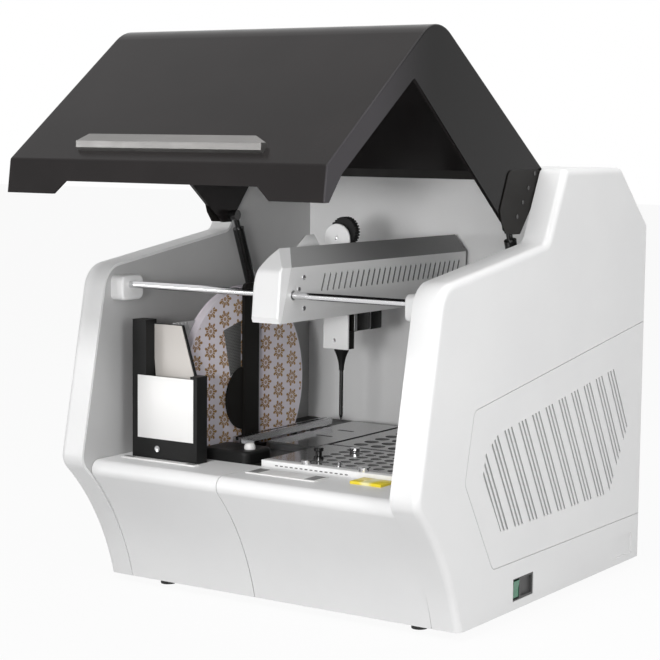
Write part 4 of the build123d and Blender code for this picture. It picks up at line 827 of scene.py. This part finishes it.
# Loader: chute plate, blank label, screw
loader_low, loader_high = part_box("cuvette_loader")
chute_y = loader_high.y - 3 * mm
chute_outline = (-212, 393), (-158, 393), (-136, 324), (-136, 300), (-203, 300)
plate_on_corners(
    "chute_plate",
    [Vector((x * mm, chute_y, z * mm)) for x, z in chute_outline],
    (0, -1.4 * mm, 0),
    0.3 * mm,
    "housing",
    cream_film,
)
rounded_block(
    "loader_label",
    (-222 * mm, loader_low.y - 0.5 * mm, 229 * mm),
    (-121 * mm, loader_low.y + 0.2 * mm, 320 * mm),
    0.2 * mm,
    "housing",
    label_film,
)
screw_head(
    "loader_screw",
    (-185 * mm, loader_low.y, 215 * mm),
    (0, -1, 0),
    4.5 * mm,
    2.2 * mm,
    0.8 * mm,
    "housing",
)

# Ribbed cuvette strip between the reel and the loader
strip_x = -177 * mm
side_plate(
    "cuvette_strip",
    strip_x,
    [(-162.2, 357), (-139, 357), (-125, 378), (-111, 396), (-162.2, 396)],
    2 * mm,
    0.3 * mm,
    "housing",
    inner_paint,
)
rib_count, rib_pitch, rib_width = 5, 8 * mm, 4 * mm
first_rib_y, rib_foot_z, rib_top_z = -160 * mm, 358 * mm, 395 * mm
# Behind this point the lower edge of the strip rises, so the feet of the ribs rise with it
rise_y, rise_slope = -138 * mm, 1.75
for rib in range(rib_count):
    rib_low_y = first_rib_y + rib * rib_pitch
    rib_high_y = rib_low_y + rib_width
    rise = max(0, (rib_high_y - rise_y) * rise_slope)
    rounded_block(
        f"cuvette_strip_rib_{rib + 1}",
        (strip_x + 1.8 * mm, rib_low_y, rib_foot_z + rise),
        (strip_x + 3.6 * mm, rib_high_y, rib_top_z),
        0.4 * mm,
        "housing",
        inner_paint,
    )

# Blank label plates on the ledge, each with two grey ends
ledge_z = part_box("front_panel_left")[1].z
tab_width, tab_inset = 16 * mm, 3 * mm
for side_name, x_low, x_high, y_low, y_high in (
    ("left", -240 * mm, -106 * mm, -202 * mm, -188.5 * mm),
    ("right", -22 * mm, 94 * mm, -196 * mm, -160 * mm),
):
    rounded_block(
        f"ledge_label_{side_name}",
        (x_low, y_low, ledge_z - 0.2 * mm),
        (x_high, y_high, ledge_z + 1.6 * mm),
        0.25 * mm,
        "housing",
        label_film,
    )
    tab_starts = x_low + tab_inset, x_high - tab_inset - tab_width
    for end_name, tab_x in zip(("first", "second"), tab_starts):
        rounded_block(
            f"ledge_tab_{side_name}_{end_name}",
            (tab_x, y_low + tab_inset, ledge_z + 1.2 * mm),
            (tab_x + tab_width, y_high - tab_inset, ledge_z + 2.0 * mm),
            0.2 * mm,
            "housing",
            label_grey,
        )

# Yellow plate near the right end of the ledge
rounded_block(
    "yellow_plate",
    (yellow_low_x, -176 * mm, ledge_z - 0.2 * mm),
    (yellow_high_x, -142 * mm, ledge_z + 4.0 * mm),
    0.8 * mm,
    "housing",
    yellow_film,
)

# Screws on the right face of the arm
arm_face_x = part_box("arm_cover")[1].x
for place_name, screw_y, screw_z in (
    ("upper", -161 * mm, 473.3 * mm),
    ("lower", -160.5 * mm, 430.7 * mm),
    ("front", -172.6 * mm, 457.5 * mm),
):
    screw_head(
        f"arm_screw_{place_name}",
        (arm_face_x, screw_y, screw_z),
        (1, 0, 0),
        3.2 * mm,
        1.2 * mm,
        0.6 * mm,
        "arm",
    )

# Bent guard plate that stands up behind the top of the arm
side_plate(
    "arm_guard",
    6.4 * mm,
    [(-128, 470), (-128, 505), (-95, 527), (-74, 527), (-52, 503), (-52, 470)],
    1.5 * mm,
    0.3 * mm,
    "arm",
    arm_sheet,
)

# Probe unit: two screws on the cover, rings and end cap around the motor
cover_face_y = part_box("z_cover")[0].y
for place_name, screw_x, screw_z in (
    ("upper", -20 * mm, 517 * mm),
    ("lower", -22 * mm, 365 * mm),
):
    screw_head(
        f"probe_screw_{place_name}",
        (screw_x, cover_face_y, screw_z),
        (0, -1, 0),
        3.0 * mm,
        1.0 * mm,
        0.5 * mm,
        "probe_carriage",
    )
motor_low, motor_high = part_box("z_motor")
for ring_name, start, end, proud, material, slot in (
    ("motor_flange", 0.0, 8 * mm, 1.2 * mm, cast_metal, "aluminium_block"),
    ("motor_body", 9 * mm, 41 * mm, 0.6 * mm, motor_grey, "black_plastic"),
    ("motor_ring", 42 * mm, 47 * mm, 0.8 * mm, cast_metal, "aluminium_block"),
    ("motor_end", 47 * mm, 76.6 * mm, 1.0 * mm, black_mould, "black_plastic"),
):
    rounded_block(
        ring_name,
        (motor_low.x - proud, motor_low.y + start, motor_low.z - proud),
        (motor_high.x + proud, motor_low.y + end, motor_high.z + proud),
        2.5 * mm,
        "probe_carriage",
        material,
        segments=3,
    )

# White dome on the sensor block, black knob and steel pin on the rack
sensor_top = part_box("track_sensor")[1].z
turned_piece(
    "sensor_dome",
    (-78 * mm, -108 * mm, sensor_top - 0.3 * mm),
    [(0, 8.2), (2.5, 8.5), (5.5, 8.0), (8, 6.2), (9.4, 3.2)],
    "housing",
    label_film,
    angle=60,
)
rack_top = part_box("reagent_rack")[1].z
knob_stem = [(0, 7.0), (3, 7.0), (5, 4.6), (10, 4.6)]
knob_head = [(11.5, 6.8), (15.5, 7.0), (16.5, 6.2), (16.5, 3.0), (14.5, 2.6)]
turned_piece(
    "rack_knob",
    (24 * mm, -81 * mm, rack_top - 0.2 * mm),
    knob_stem + knob_head,
    "housing",
    knob_gloss,
)
turned_piece(
    "rack_pin",
    (82 * mm, -117 * mm, rack_top - 0.2 * mm),
    [(0, 3.2), (2, 3.2), (2.6, 2.2), (5, 2.2), (6.5, 2.8), (7, 2.0)],
    "housing",
    bright_steel,
)

# White strip in front of the rack, with the dark insides of its slots as painted shade, shorter
# on the left than the CAD strip it replaces
strip_low, strip_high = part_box("rack_front_strip")
front_strip = rounded_block(
    "front_strip",
    (-36 * mm, strip_low.y, strip_low.z),
    (strip_high.x, strip_high.y, strip_high.z),
    0.8 * mm,
    "housing",
    slotted_white,
)
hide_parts("rack_front_strip")

# Dark label on the reel
side_plate(
    "reel_label",
    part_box("cuvette_reel")[1].x,
    [(-56, 377), (-13, 388), (-13, 318), (-39, 306.5)],
    0.5 * mm,
    0.15 * mm,
    "reel",
    lined_film,
)

# Floor, lights and camera
floor_size = 30.0
floor_tone = 0.62
floor_glow = 0.94
ambient_strength = 0.25
backdrop_strength = 1.0
spot_blend = 0.35
spot_source_size = 0.12


def seen_rays(tree):
    """One for camera, glossy and transmission rays, nought for the rest."""
    path = tree.nodes.new("ShaderNodeLightPath").outputs
    seen = math_node(tree, "MAXIMUM", path["Is Camera Ray"], path["Is Glossy Ray"])
    return math_node(tree, "MAXIMUM", seen, path["Is Transmission Ray"])


def mix_shaders(tree, share, first, second):
    """Mix of two shader nodes, with a share of the second."""
    links = {0: share, 1: first.outputs[0], 2: second.outputs[0]}
    return add_node(tree, "ShaderNodeMixShader", links).outputs[0]


def white_light(tree, kind, strength):
    """Shader node of a kind that gives off white light."""
    return add_node(tree, kind, Color=(1.0, 1.0, 1.0, 1.0), Strength=strength)


def make_floor():
    """Plain pale floor that shows nearly as bright as the backdrop."""
    deselect_all()
    bpy.ops.mesh.primitive_plane_add(size=floor_size, location=(0, 0, 0))
    floor = bpy.context.object
    floor.name = "studio_floor"
    material, tree, shader = new_finish("studio floor")
    shader.inputs["Base Color"].default_value = (*grey(floor_tone), 1.0)
    shader.inputs["Roughness"].default_value = 0.9
    shader.inputs["Specular IOR Level"].default_value = 0.0
    glow = white_light(tree, "ShaderNodeEmission", 1.0)
    share = math_node(tree, "MULTIPLY", seen_rays(tree), floor_glow)
    surface = mix_shaders(tree, share, shader, glow)
    tree.links.new(surface, tree.nodes["Material Output"].inputs["Surface"])
    floor.data.materials.append(material)


def make_world():
    """Faint white light all round, and a white backdrop for the rays that are seen."""
    world = bpy.data.worlds.new("studio")
    bpy.context.scene.world = world
    world.use_nodes = True
    tree = world.node_tree
    tree.nodes.clear()
    ambient = white_light(tree, "ShaderNodeBackground", ambient_strength)
    backdrop = white_light(tree, "ShaderNodeBackground", backdrop_strength)
    surface = mix_shaders(tree, seen_rays(tree), ambient, backdrop)
    output = tree.nodes.new("ShaderNodeOutputWorld")
    tree.links.new(surface, output.inputs["Surface"])


def add_lamp(kind, name, place, target, power):
    """Lamp that looks at a target."""
    bpy.ops.object.light_add(type=kind, location=place)
    lamp = bpy.context.object
    lamp.name = name
    lamp.rotation_euler = aim(Vector(target) - Vector(place), "-Z")
    lamp.data.energy = power
    return lamp.data


def add_softbox(name, place, target, size, power):
    """Square area lamp."""
    softbox = add_lamp("AREA", name, place, target, power)
    softbox.shape = "SQUARE"
    softbox.size = size


def add_narrow_spot(name, place, target, angle, power):
    """Spotlight with a narrow cone."""
    spot = add_lamp("SPOT", name, place, target, power)
    spot.spot_size = math.radians(angle)
    spot.spot_blend = spot_blend
    spot.shadow_soft_size = spot_source_size


def make_camera():
    """Camera at the photograph's place, turned by its three solved angles."""
    sin, cos = math.sin, math.cos
    level_ahead = Vector((-sin(camera_yaw), cos(camera_yaw), 0))
    level_right = Vector((cos(camera_yaw), sin(camera_yaw), 0))
    ahead = cos(camera_dip) * level_ahead - sin(camera_dip) * Vector((0, 0, 1))
    level_up = level_right.cross(ahead)
    right = cos(camera_roll) * level_right + sin(camera_roll) * level_up
    up = cos(camera_roll) * level_up - sin(camera_roll) * level_right
    turn = Matrix((right, up, -ahead)).transposed().to_4x4()
    bpy.ops.object.camera_add()
    camera = bpy.context.object
    camera.matrix_world = Matrix.Translation(camera_place) @ turn
    camera.data.lens = camera_lens
    camera.data.sensor_width = camera_sensor_width
    bpy.context.scene.camera = camera


make_floor()
make_world()
add_softbox("key_softbox", (0.63, -2.52, 0.60), (0, 0, 0.38), 0.4, 11)
add_softbox("front_softbox", (1.35, -2.3, 0.75), (0, 0.1, 0.35), 0.6, 8)
add_softbox("ledge_softbox", (0.1, -1.75, 2.1), (0, -0.15, 0.25), 0.35, 28)
add_softbox("left_softbox", (-2.0, -2.35, 0.35), (-0.2, -0.4, 0.6), 0.6, 9)
add_softbox("right_softbox", (2.55, -0.72, 1.0), (0, 0.1, 0.35), 1.5, 29)
add_softbox("top_softbox", (0.5, 0.5, 2.6), (0, 0.05, 0.3), 1.8, 22)
add_narrow_spot("chamber_spot", (0.95, -2.33, 0.62), (-0.05, 0.0, 0.40), 12.5, 78)
make_camera()
bpy.context.scene.view_settings.view_transform = "Standard"
